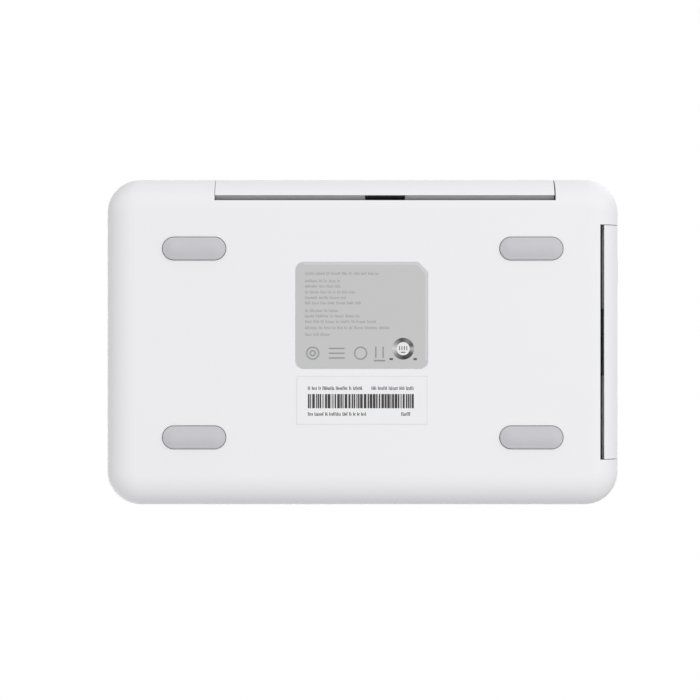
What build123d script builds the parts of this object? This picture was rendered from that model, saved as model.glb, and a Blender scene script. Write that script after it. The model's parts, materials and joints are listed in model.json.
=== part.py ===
from build123d import *

import math
import os

# A compact photo printer. Millimetres, +Z up, front at -Y, origin on the table under the middle of the case.

# Case
case_width = 194.0
case_depth = 123.4
case_height = 84.0
foot_height = 2.0
wall = 2.2
plan_radius = 12.7
bottom_radius = 11.2
top_radius = 6.0
lower_split = 16.0
lid_depth = 8.0
seam = 0.4
tongue_wall = 0.9
tongue_reach = 2.6
tongue_clearance = 0.1
tongue_margin = 2.0

front_face = -case_depth / 2
rear_face = case_depth / 2
side_face = case_width / 2
upper_split = case_height - lid_depth

# Clearances
part_gap = 0.3
running_clearance = 0.05

# Front door, which hinges along the lower edge of the case
drive_bay = 41.2
cassette_bay = 24.3
front_opening_drop = 33.6
front_lip_depth = 6.4
front_edge_depth = 8.35
front_axis_inset = 5.9
front_barrel_radius = 2.6
front_left_gap = 0.2
front_right_gap = 0.5
front_rod_radius = 1.0
front_ear_length = 3.5
knuckle_width = 14.5
knuckle_gap = 0.3
bracket_front = 2.0
bracket_reach = 11.0
bracket_foot = 1.8
bracket_web_reach = 8.0
bracket_web_inset = 1.0
front_opening_left = -side_face + drive_bay
front_opening_right = side_face - cassette_bay
front_opening_width = front_opening_right - front_opening_left
front_opening_top = case_height - front_opening_drop

# Side door, on the right
side_opening_margin = 17.4
side_opening_drop = 13.6
side_lip_depth = 6.05
side_edge_depth = 7.6
side_axis_inset = 5.4
side_barrel_radius = 1.3
side_rod_radius = 0.6
side_ear_length = 3.2
side_end_gap = 0.25
side_knuckle_width = 24.8
side_bracket_reach = 16.0
side_half = rear_face - side_opening_margin
side_opening_top = case_height - side_opening_drop

notch_radius = 60.0
notch_depth = 1.3
notch_height = 5.0

door_wall = 2.4
door_top_gap = 0.4
door_sweep_gap = 0.35
door_rib = 1.6
door_catch_width = 6.0
door_catch_height = 1.8
door_catch_drop = 4.0
front_catch_inset = 14.0
side_catch_inset = 12.0
door_catch_reach = 3.0

# Feet, rating plate and serial label
foot_length = 23.7
foot_width = 8.5
foot_margin_x = 33.6
foot_margin_y = 26.2
foot_shift_y = 0.35
foot_seat = 0.5
foot_seat_gap = 0.25
foot_edge_radius = 0.7
plate_size = (49.4, 39.7)
plate_centre = (-0.4, -10.0)
plate_thickness = 0.3
plate_recess = 0.35
plate_recess_gap = 0.3
plate_corner = 2.9
plate_bevel = 3.7
label_size = (49.2, 18.3)
label_centre = (-0.3, 21.9)
label_thickness = 0.12
label_corner = 0.8

# Chassis
sheet = 1.2
base_plate_z = 12.0
base_margin_front = 9.7
base_margin_rear = 7.7
base_margin_left = 23.0
base_margin_right = 17.0
base_window = (26.0, 60.0)
base_window_pitch = 38.0
side_plate_margin = 0.1
side_plate_margin_front = 15.7
side_plate_margin_rear = 11.7
side_plate_drop = 6.0
plate_top_radius = 5.0
drive_plate_inset = 27.0
drive_plate_margin_front = 11.7
drive_plate_margin_rear = 21.7
drive_plate_drop = 4.0
pillar_radius = 2.5
pillar_inset = 5.0
pillar_rise = 3.2
tie_width = 16.0
base_top = base_plate_z + sheet
base_front = front_face + base_margin_front
base_rear = rear_face - base_margin_rear
base_left = -side_face + base_margin_left
base_right = side_face - base_margin_right
side_plate_front = front_face + side_plate_margin_front
side_plate_rear = rear_face - side_plate_margin_rear
side_plate_top = case_height - side_plate_drop
drive_plate_x = -side_face + drive_plate_inset
drive_plate_front = front_face + drive_plate_margin_front
drive_plate_rear = rear_face - drive_plate_margin_rear
drive_plate_top = side_plate_top - drive_plate_drop

# Case screws, which pass from under the feet into the base plate
screw_radius = 1.4
screw_head_radius = 2.6
screw_head_height = 1.8
screw_well_radius = 2.9
screw_well_depth = 2.5
screw_hole_radius = 1.45
screw_tip_gap = 0.3
screw_slot_length = 3.8
screw_slot_width = 0.7
screw_slot_depth = 0.9
boss_radius = 4.5

# Paper bay and paper deck. The paper path keeps its place under the top of the case.
path_drop = 40.8
deck_below_path = 12.2
deck_margin_rear = 26.7
bay_margin = 4.3
rail_height = 5.0
deck_lip_width = 1.4
deck_lip_height = 2.4
pickup_slot_gap = 1.5
paper_gap = 0.3
roller_margin = 9.75
guide_margin = 12.25
guide_radius = 13.0
guide_rise = 2.8
guide_below_path = 3.3
paper_path_z = case_height - path_drop
deck_z = paper_path_z - deck_below_path
deck_front = drive_plate_front
deck_rear = rear_face - deck_margin_rear
bay_left = front_opening_left + bay_margin
bay_right = front_opening_right - bay_margin
roller_span = front_opening_width - 2 * roller_margin
guide_width = front_opening_width - 2 * guide_margin

# Ribbon cassette, whose spools lie on each side of the thermal head
takeup_margin = 31.7
supply_ahead = 14.0
spool_above_path = 12.8
cassette_tube_radius = 10.5
cassette_wall = 0.9
cassette_margin_left = 5.8
cassette_margin_right = 5.2
cassette_rail = 3.0
cassette_rail_below = 5.0
cassette_rail_above = 3.0
cassette_slot_outer = 13.0
cassette_slot_inner = 3.0
cassette_slot_below = 4.5
cap_thickness = 6.7
cap_below_spool = 10.8
cap_above_spool = 10.4
grip_wall = 2.0
grip_half = 15.0
grip_below_spool = 2.0
spool_core_radius = 4.6
spool_bore_radius = 3.3
supply_roll_radius = 8.4
takeup_roll_radius = 6.5
hub_radius = 2.5
hub_nose_radius = 3.2
film_edge = 0.55
film_thickness = 0.15
film_above_path = 0.95

# Rollers, each with its axis at (y, z)
feed_radius = 3.5
feed_ahead = 5.0
pinch_radius = 3.0
journal_radius = 1.5
platen_radius = 5.0
head_offset = 1.0
pickup_radius = 6.8
pickup_flat = 3.6
pickup_width = 22.0
pickup_ahead = 16.0
pickup_below_path = 7.2
feed_y = deck_rear - feed_ahead
takeup_y = front_face + takeup_margin
supply_y = feed_y - supply_ahead
head_y = (takeup_y + supply_y) / 2 + head_offset
pickup_axis = (feed_y - pickup_ahead, paper_path_z - pickup_below_path)
spool_z = paper_path_z + spool_above_path
film_z = paper_path_z + film_above_path
film_width = roller_span - 2 * film_edge
cassette_left = front_opening_left + cassette_margin_left
cassette_right = front_opening_right - cassette_margin_right
cassette_cap_reach = cassette_right + cap_thickness
cassette_cap_bottom = spool_z - cap_below_spool
cassette_cap_top = spool_z + cap_above_spool
grip_top = spool_z - grip_below_spool

# Gears
gear_module = 0.8
gear_addendum = 0.8
gear_dedendum = 1.15
gear_backlash = 0.2
pressure_angle = 20.0
gear_width = 3.0
gear_gap = 5.4
pickup_gear_gap = 1.0
feed_teeth = 30
idler_teeth = 22
pinion_teeth = 12
pickup_teeth = 22
takeup_teeth = 27
idler_bearing = 155.0
pinion_bearing = 160.0
pickup_pinion_bearing = 240.0
ribbon_pinion_bearing = 205.0
idler_boss_radius = 3.0
idler_boss_length = 1.0

# Motors
feed_motor_radius = 17.5
feed_motor_length = 17.0
ribbon_motor_radius = 12.0
ribbon_motor_length = 20.0
pickup_motor_radius = 10.0
pickup_motor_length = 18.0
motor_shaft_radius = 1.0
motor_collar_radius = 3.0
motor_notch_gap = 1.0

# Thermal head
head_bar_margin = 2.5
head_bar_depth = 9.0
head_bar_height = 5.4
head_sink_margin = 2.05
head_sink_share = 0.56
head_sink_base = 5.0
head_gap = 0.35
fin_thickness = 1.2
fin_pitch = 4.2
arm_margin = 2.3
arm_ahead = 9.0
arm_flange = 2.0
arm_window = (60.0, 10.0)
pivot_behind = 4.0
pivot_radius = 2.0
pivot_ring = 4.0
spring_length = 7.4
spring_radius = 2.6
spring_wire = 0.3
spring_turns = 4
spring_behind = 14.0
spring_margin = 19.95
head_bar_width = roller_span - 2 * head_bar_margin
head_sink_width = head_bar_width - 2 * head_sink_margin
head_sink_depth = (supply_y - takeup_y - 2 * cassette_tube_radius) * head_sink_share
arm_span = front_opening_width - 2 * arm_margin
arm_z = side_plate_top - spring_length - sheet
arm_front = head_y - arm_ahead
pivot_y = feed_y + pivot_behind
pivot_z = arm_z + sheet / 2
arm_rear = pivot_y - pivot_ring
spring_y = head_y + spring_behind
spring_spread = arm_span - 2 * spring_margin

# Latch that holds the cassette in
latch_ahead = 3.0
latch_drop = 5.5
latch_length = 9.1
latch_width = 5.0
latch_thickness = 2.2
latch_pin_radius = 1.5
latch_tab = 5.0
latch_y = takeup_y - latch_ahead
latch_z = side_plate_top - latch_drop

# Power button
button_margin_x = 15.0
button_margin_y = 15.7
button_radius = 5.8
button_travel = 0.8
ring_inner = 6.1
ring_outer = 7.6
ring_flange = 8.8
button_flange = 7.0
button_board_drop = 14.0
button_board_size = (14.0, 18.0)
button_board_offset = (2.0, 3.0)
button_post_radius = 1.6
button_post_offsets = (-3.0, 6.5)
button_post_behind = 10.2
button_stem_radius = 1.8
switch_height = 3.5
switch_body = 6.0
button_x = side_face - button_margin_x
button_y = front_face + button_margin_y
button_board_z = case_height - button_board_drop

# Rear flap, vents, fan and power inlet
flap_margin_left = 3.8
flap_margin_right = 3.7
flap_below_path = 4.0
flap_above_path = 5.0
flap_thickness = 1.6
flap_barrel_radius = 1.1
flap_pin_radius = 0.7
flap_pin_length = 1.8
fan_margin = 23.0
fan_drop = 24.5
fan_size = 25.0
fan_depth = 10.0
fan_bore = 11.6
fan_hub = 6.0
fan_tip_gap = 0.6
fan_blades = 7
fan_blade_thickness = 0.8
fan_chord = 6.4
fan_seat = 1.3
fan_screw_inset = 2.5
fan_strut = 1.2
vent_slots = 9
vent_slot_width = 1.6
vent_pitch = 2.8
jack_margin = 19.0
jack_width = 9.0
jack_height = 11.0
jack_depth = 13.5
jack_bore_radius = 3.15
jack_bore_depth = 9.0
jack_pin_radius = 1.0
flap_left = front_opening_left + flap_margin_left
flap_right = front_opening_right - flap_margin_right
flap_bottom = paper_path_z - flap_below_path
flap_axis_z = paper_path_z + flap_above_path
fan_x = -side_face + fan_margin
fan_z = case_height - fan_drop
jack_x = -side_face + jack_margin

# Circuit boards, each (left, right, front, rear)
board_thickness = 1.6
board_post_inset = 4.0
main_post_radius = 2.5
power_post_radius = 2.0
main_board_z = 6.5
main_board_margin = 41.0
main_board_margin_front = 17.7
main_board_margin_rear = 13.7
power_board_z = 17.1
power_board_margin = 9.0
power_board_width = 22.0
power_board_depth = 16.0
power_board_margin_rear = 4.7
capacitor_radius = 3.1
capacitor_height = 3.4
plug_length = 5.0
plug_width = 4.5
plug_inset = 2.0
main_board = (
    -side_face + main_board_margin,
    side_face - main_board_margin,
    front_face + main_board_margin_front,
    rear_face - main_board_margin_rear,
)
power_board = (
    -side_face + power_board_margin,
    -side_face + power_board_margin + power_board_width,
    rear_face - power_board_margin_rear - power_board_depth,
    rear_face - power_board_margin_rear,
)
jack_z = power_board_z + board_thickness + jack_height / 2

# Worked out from the sizes above
path_centre = (front_opening_left + front_opening_right) / 2
front_axis = (front_face + front_axis_inset, foot_height + front_axis_inset)
side_axis = (side_face - side_axis_inset, foot_height + side_axis_inset)
plate_span = front_opening_width / 2 + side_plate_margin
left_plate = (path_centre - plate_span - sheet, path_centre - plate_span)
right_plate = (path_centre + plate_span, path_centre + plate_span + sheet)
base_notch = (left_plate[0] - 0.9, drive_plate_rear + 0.5)
gear_layer = left_plate[0] - gear_gap
pickup_layer = drive_plate_x + sheet / 2 + pickup_gear_gap
pinch_z = paper_path_z + paper_gap + pinch_radius
platen_z = paper_path_z - platen_radius
feed_axis = (feed_y, paper_path_z - feed_radius)
supply_axis = (supply_y, spool_z)
takeup_axis = (takeup_y, spool_z)
drive_plate = (drive_plate_x - sheet / 2, drive_plate_x + sheet / 2)
foot_places = [
    (side * (side_face - foot_margin_x), end * (rear_face - foot_margin_y) + foot_shift_y)
    for side in (-1, 1)
    for end in (-1, 1)
]


def block(x0, x1, y0, y1, z0, z1):
    size = Box(x1 - x0, y1 - y0, z1 - z0)
    return Pos((x0 + x1) / 2, (y0 + y1) / 2, (z0 + z1) / 2) * size


def rod_x(radius, x0, x1, axis):
    turned = Rot(0, 90, 0) * Cylinder(radius, x1 - x0)
    return Pos((x0 + x1) / 2, axis[0], axis[1]) * turned


def rod_y(radius, y0, y1, axis):
    turned = Rot(90, 0, 0) * Cylinder(radius, y1 - y0)
    return Pos(axis[0], (y0 + y1) / 2, axis[1]) * turned


def rod_z(radius, z0, z1, place):
    return Pos(place[0], place[1], (z0 + z1) / 2) * Cylinder(radius, z1 - z0)


def outline_x(x0, x1, points):
    corners = [(0, y, z) for y, z in points]
    face = make_face(Polyline(*corners, close=True))
    return Pos(x0, 0, 0) * extrude(face, x1 - x0, dir=(1, 0, 0))


def polar(centre, distance, bearing):
    angle = math.radians(bearing)
    return (centre[0] + distance * math.cos(angle), centre[1] + distance * math.sin(angle))


def case_form(inset):
    """The solid that fills the case, drawn in from its outer face by inset."""
    low = foot_height + inset
    high = case_height - inset
    plan = RectangleRounded(case_width - 2 * inset, case_depth - 2 * inset, plan_radius - inset)
    form = extrude(Pos(0, 0, low) * plan, high - low)
    form = fillet(form.faces().sort_by(Axis.Z)[0].edges(), bottom_radius - inset)
    return fillet(form.faces().sort_by(Axis.Z)[-1].edges(), top_radius - inset)


def case_layer(outer_inset, inner_inset, z0, z1):
    layer = case_form(outer_inset) - case_form(inner_inset)
    return layer & block(-side_face, side_face, front_face, rear_face, z0, z1)


def case_tongue(split, direction):
    """Ring inside the wall that laps the neighbouring shell across a split."""
    inner = wall + tongue_wall + tongue_clearance
    root = sorted((split, split + direction * tongue_reach))
    lap = sorted((split, split - direction * tongue_reach))
    ring = case_layer(wall - tongue_clearance, inner, root[0], root[1])
    return ring + case_layer(wall + tongue_clearance, inner, lap[0], lap[1])


def front_opening(z0, z1, margin=0.0):
    return block(
        front_opening_left - margin,
        front_opening_right + margin,
        front_face - 1,
        front_face + front_edge_depth,
        z0,
        z1,
    )


def side_opening(z0, z1, margin=0.0):
    return block(
        side_face - side_edge_depth,
        side_face + 1,
        -side_half - margin,
        side_half + margin,
        z0,
        z1,
    )


def lip_radius(lip_depth, axis_inset):
    """Distance from a door's hinge axis to the outer corner of its lip."""
    drop = bottom_radius - math.sqrt(bottom_radius**2 - (bottom_radius - lip_depth) ** 2)
    return math.hypot(lip_depth - axis_inset, drop - axis_inset)


front_sweep = lip_radius(front_lip_depth, front_axis_inset) + door_sweep_gap
side_sweep = lip_radius(side_lip_depth, side_axis_inset) + door_sweep_gap
front_bore = front_rod_radius + running_clearance
side_bore = side_rod_radius + running_clearance
knuckle_left = path_centre - knuckle_width / 2
knuckle_right = path_centre + knuckle_width / 2


def rating_outline(margin):
    """Rating plate's outline: three round corners and a bevel at the front right."""
    half_x = plate_size[0] / 2 + margin
    half_y = plate_size[1] / 2 + margin
    face = Rectangle(2 * half_x, 2 * half_y)
    front_right = face.vertices().filter_by(lambda corner: corner.X > 0 and corner.Y < 0)
    face = chamfer(front_right, plate_bevel)
    rear_or_left = face.vertices().filter_by(lambda corner: corner.Y > 0 or corner.X < 0)
    face = fillet(rear_or_left, plate_corner)
    return Pos(plate_centre[0], plate_centre[1], 0) * face


def bottom_cover():
    cover = case_layer(0, wall, foot_height, lower_split)
    cover -= front_opening(0, lower_split + 1)
    cover -= side_opening(0, lower_split + 1)
    cover -= rod_x(front_sweep, front_opening_left, front_opening_right, front_axis)
    cover -= rod_y(side_sweep, -side_half, side_half, side_axis)
    for x0 in (front_opening_left - front_ear_length, front_opening_right):
        ear = rod_x(front_barrel_radius, x0, x0 + front_ear_length, front_axis)
        cover += ear & case_form(wall / 2)
    for y0 in (-side_half - side_ear_length, side_half):
        ear = rod_y(side_barrel_radius + wall / 2, y0, y0 + side_ear_length, side_axis)
        cover += ear & case_form(wall / 2)
    cover -= rod_x(
        front_bore,
        front_opening_left - front_ear_length,
        front_opening_right + front_ear_length,
        front_axis,
    )
    cover -= rod_y(side_bore, -side_half - side_ear_length, side_half + side_ear_length, side_axis)
    floor = foot_height + wall
    for place in foot_places:
        cover += rod_z(boss_radius, floor - wall / 2, base_plate_z, place)
    for x, y in board_posts(main_board):
        cover += rod_z(main_post_radius, floor - wall / 2, main_board_z, (x, y))
    for x, y in board_posts(power_board):
        cover += rod_z(power_post_radius, floor, power_board_z, (x, y))
    for place in foot_places:
        cover -= foot_seat_cut(place)
        cover -= rod_z(screw_well_radius, foot_height, foot_height + screw_well_depth, place)
        cover -= rod_z(screw_radius + 0.2, foot_height, base_plate_z + 1, place)
    recess = extrude(Pos(0, 0, foot_height - 1) * rating_outline(plate_recess_gap), 1 + plate_recess)
    return cover - recess


def board_posts(board):
    inset = board_post_inset
    left, right, front, rear = board
    return [(x, y) for x in (left + inset, right - inset) for y in (front + inset, rear - inset)]


def foot_seat_cut(place):
    plan = SlotOverall(foot_length + 2 * foot_seat_gap, foot_width + 2 * foot_seat_gap)
    return extrude(Pos(place[0], place[1], foot_height - 1) * plan, 1 + foot_seat)


def foot(place):
    pad = extrude(Pos(place[0], place[1], 0) * SlotOverall(foot_length, foot_width), foot_height + foot_seat)
    return fillet(pad.faces().sort_by(Axis.Z)[0].edges(), foot_edge_radius)


def rating_plate():
    top = foot_height + plate_recess
    return extrude(Pos(0, 0, top - plate_thickness) * rating_outline(0), plate_thickness)


def serial_label():
    plan = RectangleRounded(label_size[0], label_size[1], label_corner)
    low = foot_height - label_thickness
    return extrude(Pos(label_centre[0], label_centre[1], low) * plan, label_thickness)


def case_screws():
    screws = []
    head_bottom = foot_height + screw_well_depth - screw_head_height
    for place in foot_places:
        screw = rod_z(screw_head_radius, head_bottom, head_bottom + screw_head_height, place)
        screw += rod_z(screw_radius, head_bottom + screw_head_height, base_top + screw_tip_gap, place)
        slot = Box(screw_slot_length, screw_slot_width, screw_slot_depth * 2)
        cross = slot + Rot(0, 0, 90) * slot
        screws.append(screw - Pos(place[0], place[1], head_bottom) * cross)
    return screws


def upper_housing():
    low = lower_split + seam
    high = upper_split - seam
    housing = case_layer(0, wall, low, high) + case_tongue(low, 1)
    housing -= front_opening(0, low + tongue_reach, tongue_margin) & case_form(wall - tongue_clearance)
    housing -= side_opening(0, low + tongue_reach, tongue_margin) & case_form(wall - tongue_clearance)
    housing -= front_opening(0, front_opening_top)
    housing -= side_opening(0, side_opening_top)
    housing -= finger_notch()
    housing -= rear_slot()
    housing -= flap_pin_bores()
    housing -= jack_hole()
    for slot in vent_cuts():
        housing -= slot
    for x in (-1, 1):
        for z in (-1, 1):
            reach = fan_size / 2 - fan_screw_inset
            place = (fan_x + x * reach, fan_z + z * reach)
            housing += rod_y(fan_screw_inset - 0.7, rear_face - wall - fan_seat, rear_face - wall / 2, place)
    return housing


def finger_notch():
    """Shallow scoop over the front door, where a finger pulls it open."""
    place = (path_centre, front_face - notch_radius + notch_depth)
    return rod_z(notch_radius, front_opening_top - 1, front_opening_top + notch_height, place)


def rear_slot():
    return block(
        flap_left - part_gap,
        flap_right + part_gap,
        rear_face - wall - 1,
        rear_face + 1,
        flap_bottom - part_gap,
        flap_axis_z + flap_barrel_radius + part_gap / 2,
    )


def flap_axis():
    return (rear_face - 0.1 - flap_barrel_radius, flap_axis_z)


def flap_pin_bores():
    reach = flap_pin_length + part_gap
    return rod_x(flap_pin_radius + running_clearance, flap_left - reach, flap_right + reach, flap_axis())


def rear_flap():
    outer = rear_face - 0.1
    axis = flap_axis()
    flap = block(flap_left, flap_right, outer - flap_thickness, outer, flap_bottom, flap_axis_z)
    flap += rod_x(flap_barrel_radius, flap_left, flap_right, axis)
    return flap + rod_x(flap_pin_radius, flap_left - flap_pin_length, flap_right + flap_pin_length, axis)


def jack_hole():
    hole = Box(jack_width + 2 * part_gap, wall + 2, jack_height + 2 * part_gap)
    return Pos(jack_x, rear_face - wall / 2, jack_z) * hole


def vent_cuts():
    """Upright slots behind the fan, longer towards the middle."""
    cuts = []
    for index in range(vent_slots):
        offset = (index - (vent_slots - 1) / 2) * vent_pitch
        reach = math.sqrt(fan_bore**2 - offset**2) if abs(offset) < fan_bore else vent_slot_width
        face = SlotOverall(2 * reach + vent_slot_width, vent_slot_width, rotation=90)
        cut = extrude(Plane.XZ * face, wall + 2)
        cuts.append(Pos(fan_x + offset, rear_face + 1, fan_z) * cut)
    return cuts


def top_cover():
    cover = case_layer(0, wall, upper_split, case_height) + case_tongue(upper_split, 1)
    cover -= rod_z(ring_outer + 0.1, case_height - wall - 1, case_height + 1, (button_x, button_y))
    for offset in button_post_offsets:
        place = (button_x + offset, button_y + button_post_behind)
        cover += rod_z(button_post_radius, button_board_z + board_thickness, case_height - wall / 2, place)
    return cover


def front_door():
    door = case_layer(0, door_wall, foot_height, front_opening_top - door_top_gap)
    left = front_opening_left + front_left_gap
    right = front_opening_right - front_right_gap
    door &= block(left, right, front_face - 1, front_face + front_lip_depth, 0, front_opening_top)
    door += rod_x(front_barrel_radius, left, right, front_axis)
    inner = front_face + door_wall
    rib_top = front_opening_top - door_catch_drop
    for x in (left, path_centre - door_rib / 2, right - door_rib):
        door += block(x, x + door_rib, inner - door_wall / 4, inner + door_rib, lower_split, rib_top)
    root = inner - door_wall / 4
    catch_top = rib_top + door_catch_height
    for x in (left + front_catch_inset, right - front_catch_inset - door_catch_width):
        door += block(x, x + door_catch_width, root, inner + door_catch_reach, rib_top, catch_top)
    door -= rod_x(front_bore, left, right, front_axis)
    pocket = front_barrel_radius + part_gap
    return door - rod_x(pocket, knuckle_left - knuckle_gap, knuckle_right + knuckle_gap, front_axis)


def front_hinge_bracket():
    """Black centre knuckle of the front hinge, hung from the base plate."""
    y, z = front_axis
    left = knuckle_left
    right = knuckle_right
    bracket = rod_x(front_barrel_radius, left, right, front_axis)
    front = y - bracket_front
    bracket += block(left, right, front, y + front_barrel_radius, z, base_plate_z)
    bracket += block(left, right, front, y + bracket_reach, base_plate_z - bracket_foot, base_plate_z)
    under = base_plate_z - bracket_foot / 2
    start = y + bracket_web_inset
    low = z + bracket_web_inset
    corners = [(start, low), (y + front_barrel_radius, low), (y + bracket_web_reach, under), (start, under)]
    for x in (left + sheet, path_centre - sheet / 2, right - 2 * sheet):
        bracket += outline_x(x, x + sheet, corners)
    return bracket - rod_x(front_bore, left, right, front_axis)


def side_door():
    door = case_layer(0, door_wall, foot_height, side_opening_top - door_top_gap)
    low = -side_half + side_end_gap
    high = side_half - side_end_gap
    door &= block(side_face - side_lip_depth, side_face + 1, low, high, 0, side_opening_top)
    door += rod_y(side_barrel_radius, low, high, side_axis)
    inner = side_face - door_wall
    root = inner + door_wall / 4
    rib_top = side_opening_top - door_catch_drop
    for y in (low, high - door_rib):
        door += block(inner - door_rib, root, y, y + door_rib, lower_split, rib_top)
    catch_top = rib_top + door_catch_height
    for y in (low + side_catch_inset, high - side_catch_inset - door_catch_width):
        door += block(inner - door_catch_reach, root, y, y + door_catch_width, rib_top, catch_top)
    door -= rod_y(side_bore, low, high, side_axis)
    reach = side_knuckle_width / 2 + knuckle_gap
    return door - rod_y(side_barrel_radius + part_gap, -reach, reach, side_axis)


def side_hinge_bracket():
    """Black centre knuckle of the side hinge, hung from the base plate."""
    x, z = side_axis
    half = side_knuckle_width / 2
    inner = x - side_bracket_reach
    bracket = rod_y(side_barrel_radius, -half, half, side_axis)
    bracket += block(x - side_barrel_radius, x + side_barrel_radius, -half, half, z, base_plate_z)
    bracket += block(inner, x + side_barrel_radius, -half, half, base_plate_z - bracket_foot, base_plate_z)
    return bracket - rod_y(side_bore, -half, half, side_axis)


def front_hinge_rod():
    inset = front_ear_length - part_gap
    return rod_x(front_rod_radius, front_opening_left - inset, front_opening_right + inset, front_axis)


def side_hinge_rod():
    reach = side_half + side_ear_length - part_gap
    return rod_y(side_rod_radius, -reach, reach, side_axis)


def base_plate():
    plate = block(base_left, base_right, base_front, base_rear, base_plate_z, base_top)
    plate -= block(base_left, base_notch[0], base_notch[1], base_rear, base_plate_z, base_top)
    for place in foot_places:
        plate -= rod_z(screw_hole_radius, base_plate_z, base_top, place)
    for step in (-1, 0, 1):
        window = RectangleRounded(base_window[0], base_window[1], plate_top_radius)
        plate -= extrude(Pos(path_centre + step * base_window_pitch, 0, base_plate_z) * window, sheet)
    half = pickup_motor_radius + motor_notch_gap
    y = pickup_motor_axis[0]
    notch_end = pickup_layer + gear_width + 2 * motor_notch_gap
    return plate - block(base_left, notch_end, y - half, y + half, base_plate_z, base_top)


def side_plate(x0, x1):
    plate = block(x0, x1, side_plate_front, side_plate_rear, base_top, side_plate_top)
    plate = fillet(plate.edges().filter_by(Axis.X).group_by(Axis.Z)[-1], plate_top_radius)
    bearing = journal_radius + running_clearance
    for axis in (feed_axis, (feed_y, pinch_z), (head_y, platen_z), pickup_axis):
        plate -= rod_x(bearing, x0, x1, axis)
    return plate - rod_x(pivot_radius, x0, x1, (pivot_y, pivot_z))


def side_plate_left():
    plate = side_plate(*left_plate)
    for axis in (supply_axis, takeup_axis):
        plate -= rod_x(hub_radius + running_clearance, left_plate[0], left_plate[1], axis)
    return plate


def side_plate_right():
    plate = side_plate(*right_plate)
    gap = 0.6
    plate -= block(
        right_plate[0],
        right_plate[1],
        takeup_y - cassette_tube_radius - gap,
        supply_y + cassette_tube_radius + gap,
        cassette_cap_bottom - gap,
        cassette_cap_top + gap,
    )
    pin_end = right_plate[1] + latch_thickness + part_gap + 0.8
    return plate + rod_x(latch_pin_radius, right_plate[0], pin_end, (latch_y, latch_z))


def motor_axes():
    idler = polar(feed_axis, gear_module * (feed_teeth + idler_teeth) / 2, idler_bearing)
    feed = polar(idler, gear_module * (idler_teeth + pinion_teeth) / 2, pinion_bearing)
    pickup = polar(pickup_axis, gear_module * (pickup_teeth + pinion_teeth) / 2, pickup_pinion_bearing)
    ribbon = polar(takeup_axis, gear_module * (takeup_teeth + pinion_teeth) / 2, ribbon_pinion_bearing)
    return idler, feed, pickup, ribbon


idler_axis, feed_motor_axis, pickup_motor_axis, ribbon_motor_axis = motor_axes()


def drive_plate_part():
    """Sheet that carries the motors, with the pillars that stand off the left side plate."""
    plate = block(*drive_plate, drive_plate_front, drive_plate_rear, base_top, drive_plate_top)
    plate = fillet(plate.edges().filter_by(Axis.X).group_by(Axis.Z)[-1], plate_top_radius)
    front = drive_plate_front + pillar_inset
    rear = drive_plate_rear - pillar_inset
    low = base_top + pillar_rise
    for place in ((front, low), (rear, low), (front, drive_plate_top - pillar_inset)):
        plate += rod_x(pillar_radius, drive_plate[1] - 0.2, left_plate[0], place)
    plate += rod_x(journal_radius, drive_plate[1] - 0.2, left_plate[0], idler_axis)
    for axis in (feed_motor_axis, pickup_motor_axis, ribbon_motor_axis):
        plate -= rod_x(motor_collar_radius + 0.1, drive_plate[0], drive_plate[1], axis)
    return plate


def top_tie():
    front = spring_y - tie_width / 2
    rear = front + tie_width
    tie = block(left_plate[0], right_plate[1], front, rear, side_plate_top, side_plate_top + sheet)
    window = RectangleRounded(arm_window[0], tie_width / 2, tie_width / 8)
    return tie - extrude(Pos(path_centre, spring_y, side_plate_top) * window, sheet)


def paper_deck():
    deck = block(left_plate[1], right_plate[0], deck_front, deck_rear, deck_z, deck_z + sheet)
    lip_rear = deck_front + deck_lip_width
    deck += block(left_plate[1], right_plate[0], deck_front, lip_rear, deck_z, deck_z + deck_lip_height)
    width = pickup_width / 2 + pickup_slot_gap
    slot = pickup_radius + pickup_slot_gap
    y = pickup_axis[0]
    return deck - block(path_centre - width, path_centre + width, y - slot, y + slot, deck_z, deck_z + sheet)


def tray_rails():
    rails = []
    for x0, x1 in ((left_plate[1], bay_left - part_gap), (bay_right + part_gap, right_plate[0])):
        rail = block(x0, x1, side_plate_front, deck_rear, base_top, base_top + rail_height)
        rails.append(chamfer(rail.edges().filter_by(Axis.Z).group_by(Axis.Y)[0], 1.0))
    return rails


def rear_paper_guide():
    """Ramp behind the paper bay that turns a sheet up to the rollers."""
    radius = guide_radius
    front = deck_rear + 1.0
    centre = base_top + guide_rise + radius
    top = paper_path_z - guide_below_path
    rear = front + radius + sheet
    left = path_centre - guide_width / 2
    right = path_centre + guide_width / 2
    guide = block(left, right, front, rear, base_top, top)
    guide -= rod_x(radius, left, right, (front, centre))
    return guide - block(left, right, front - 1, front + radius, centre, top + 1)


def roller(radius, axis, gap_to_plate=part_gap):
    inner_left = left_plate[1] + gap_to_plate
    inner_right = right_plate[0] - gap_to_plate
    half = roller_span / 2
    body = rod_x(radius, path_centre - half, path_centre + half, axis)
    body += rod_x(journal_radius + 0.6, inner_left, inner_right, axis)
    return body + rod_x(journal_radius, left_plate[0] - 1.0, right_plate[1] + 1.0, axis)


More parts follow.
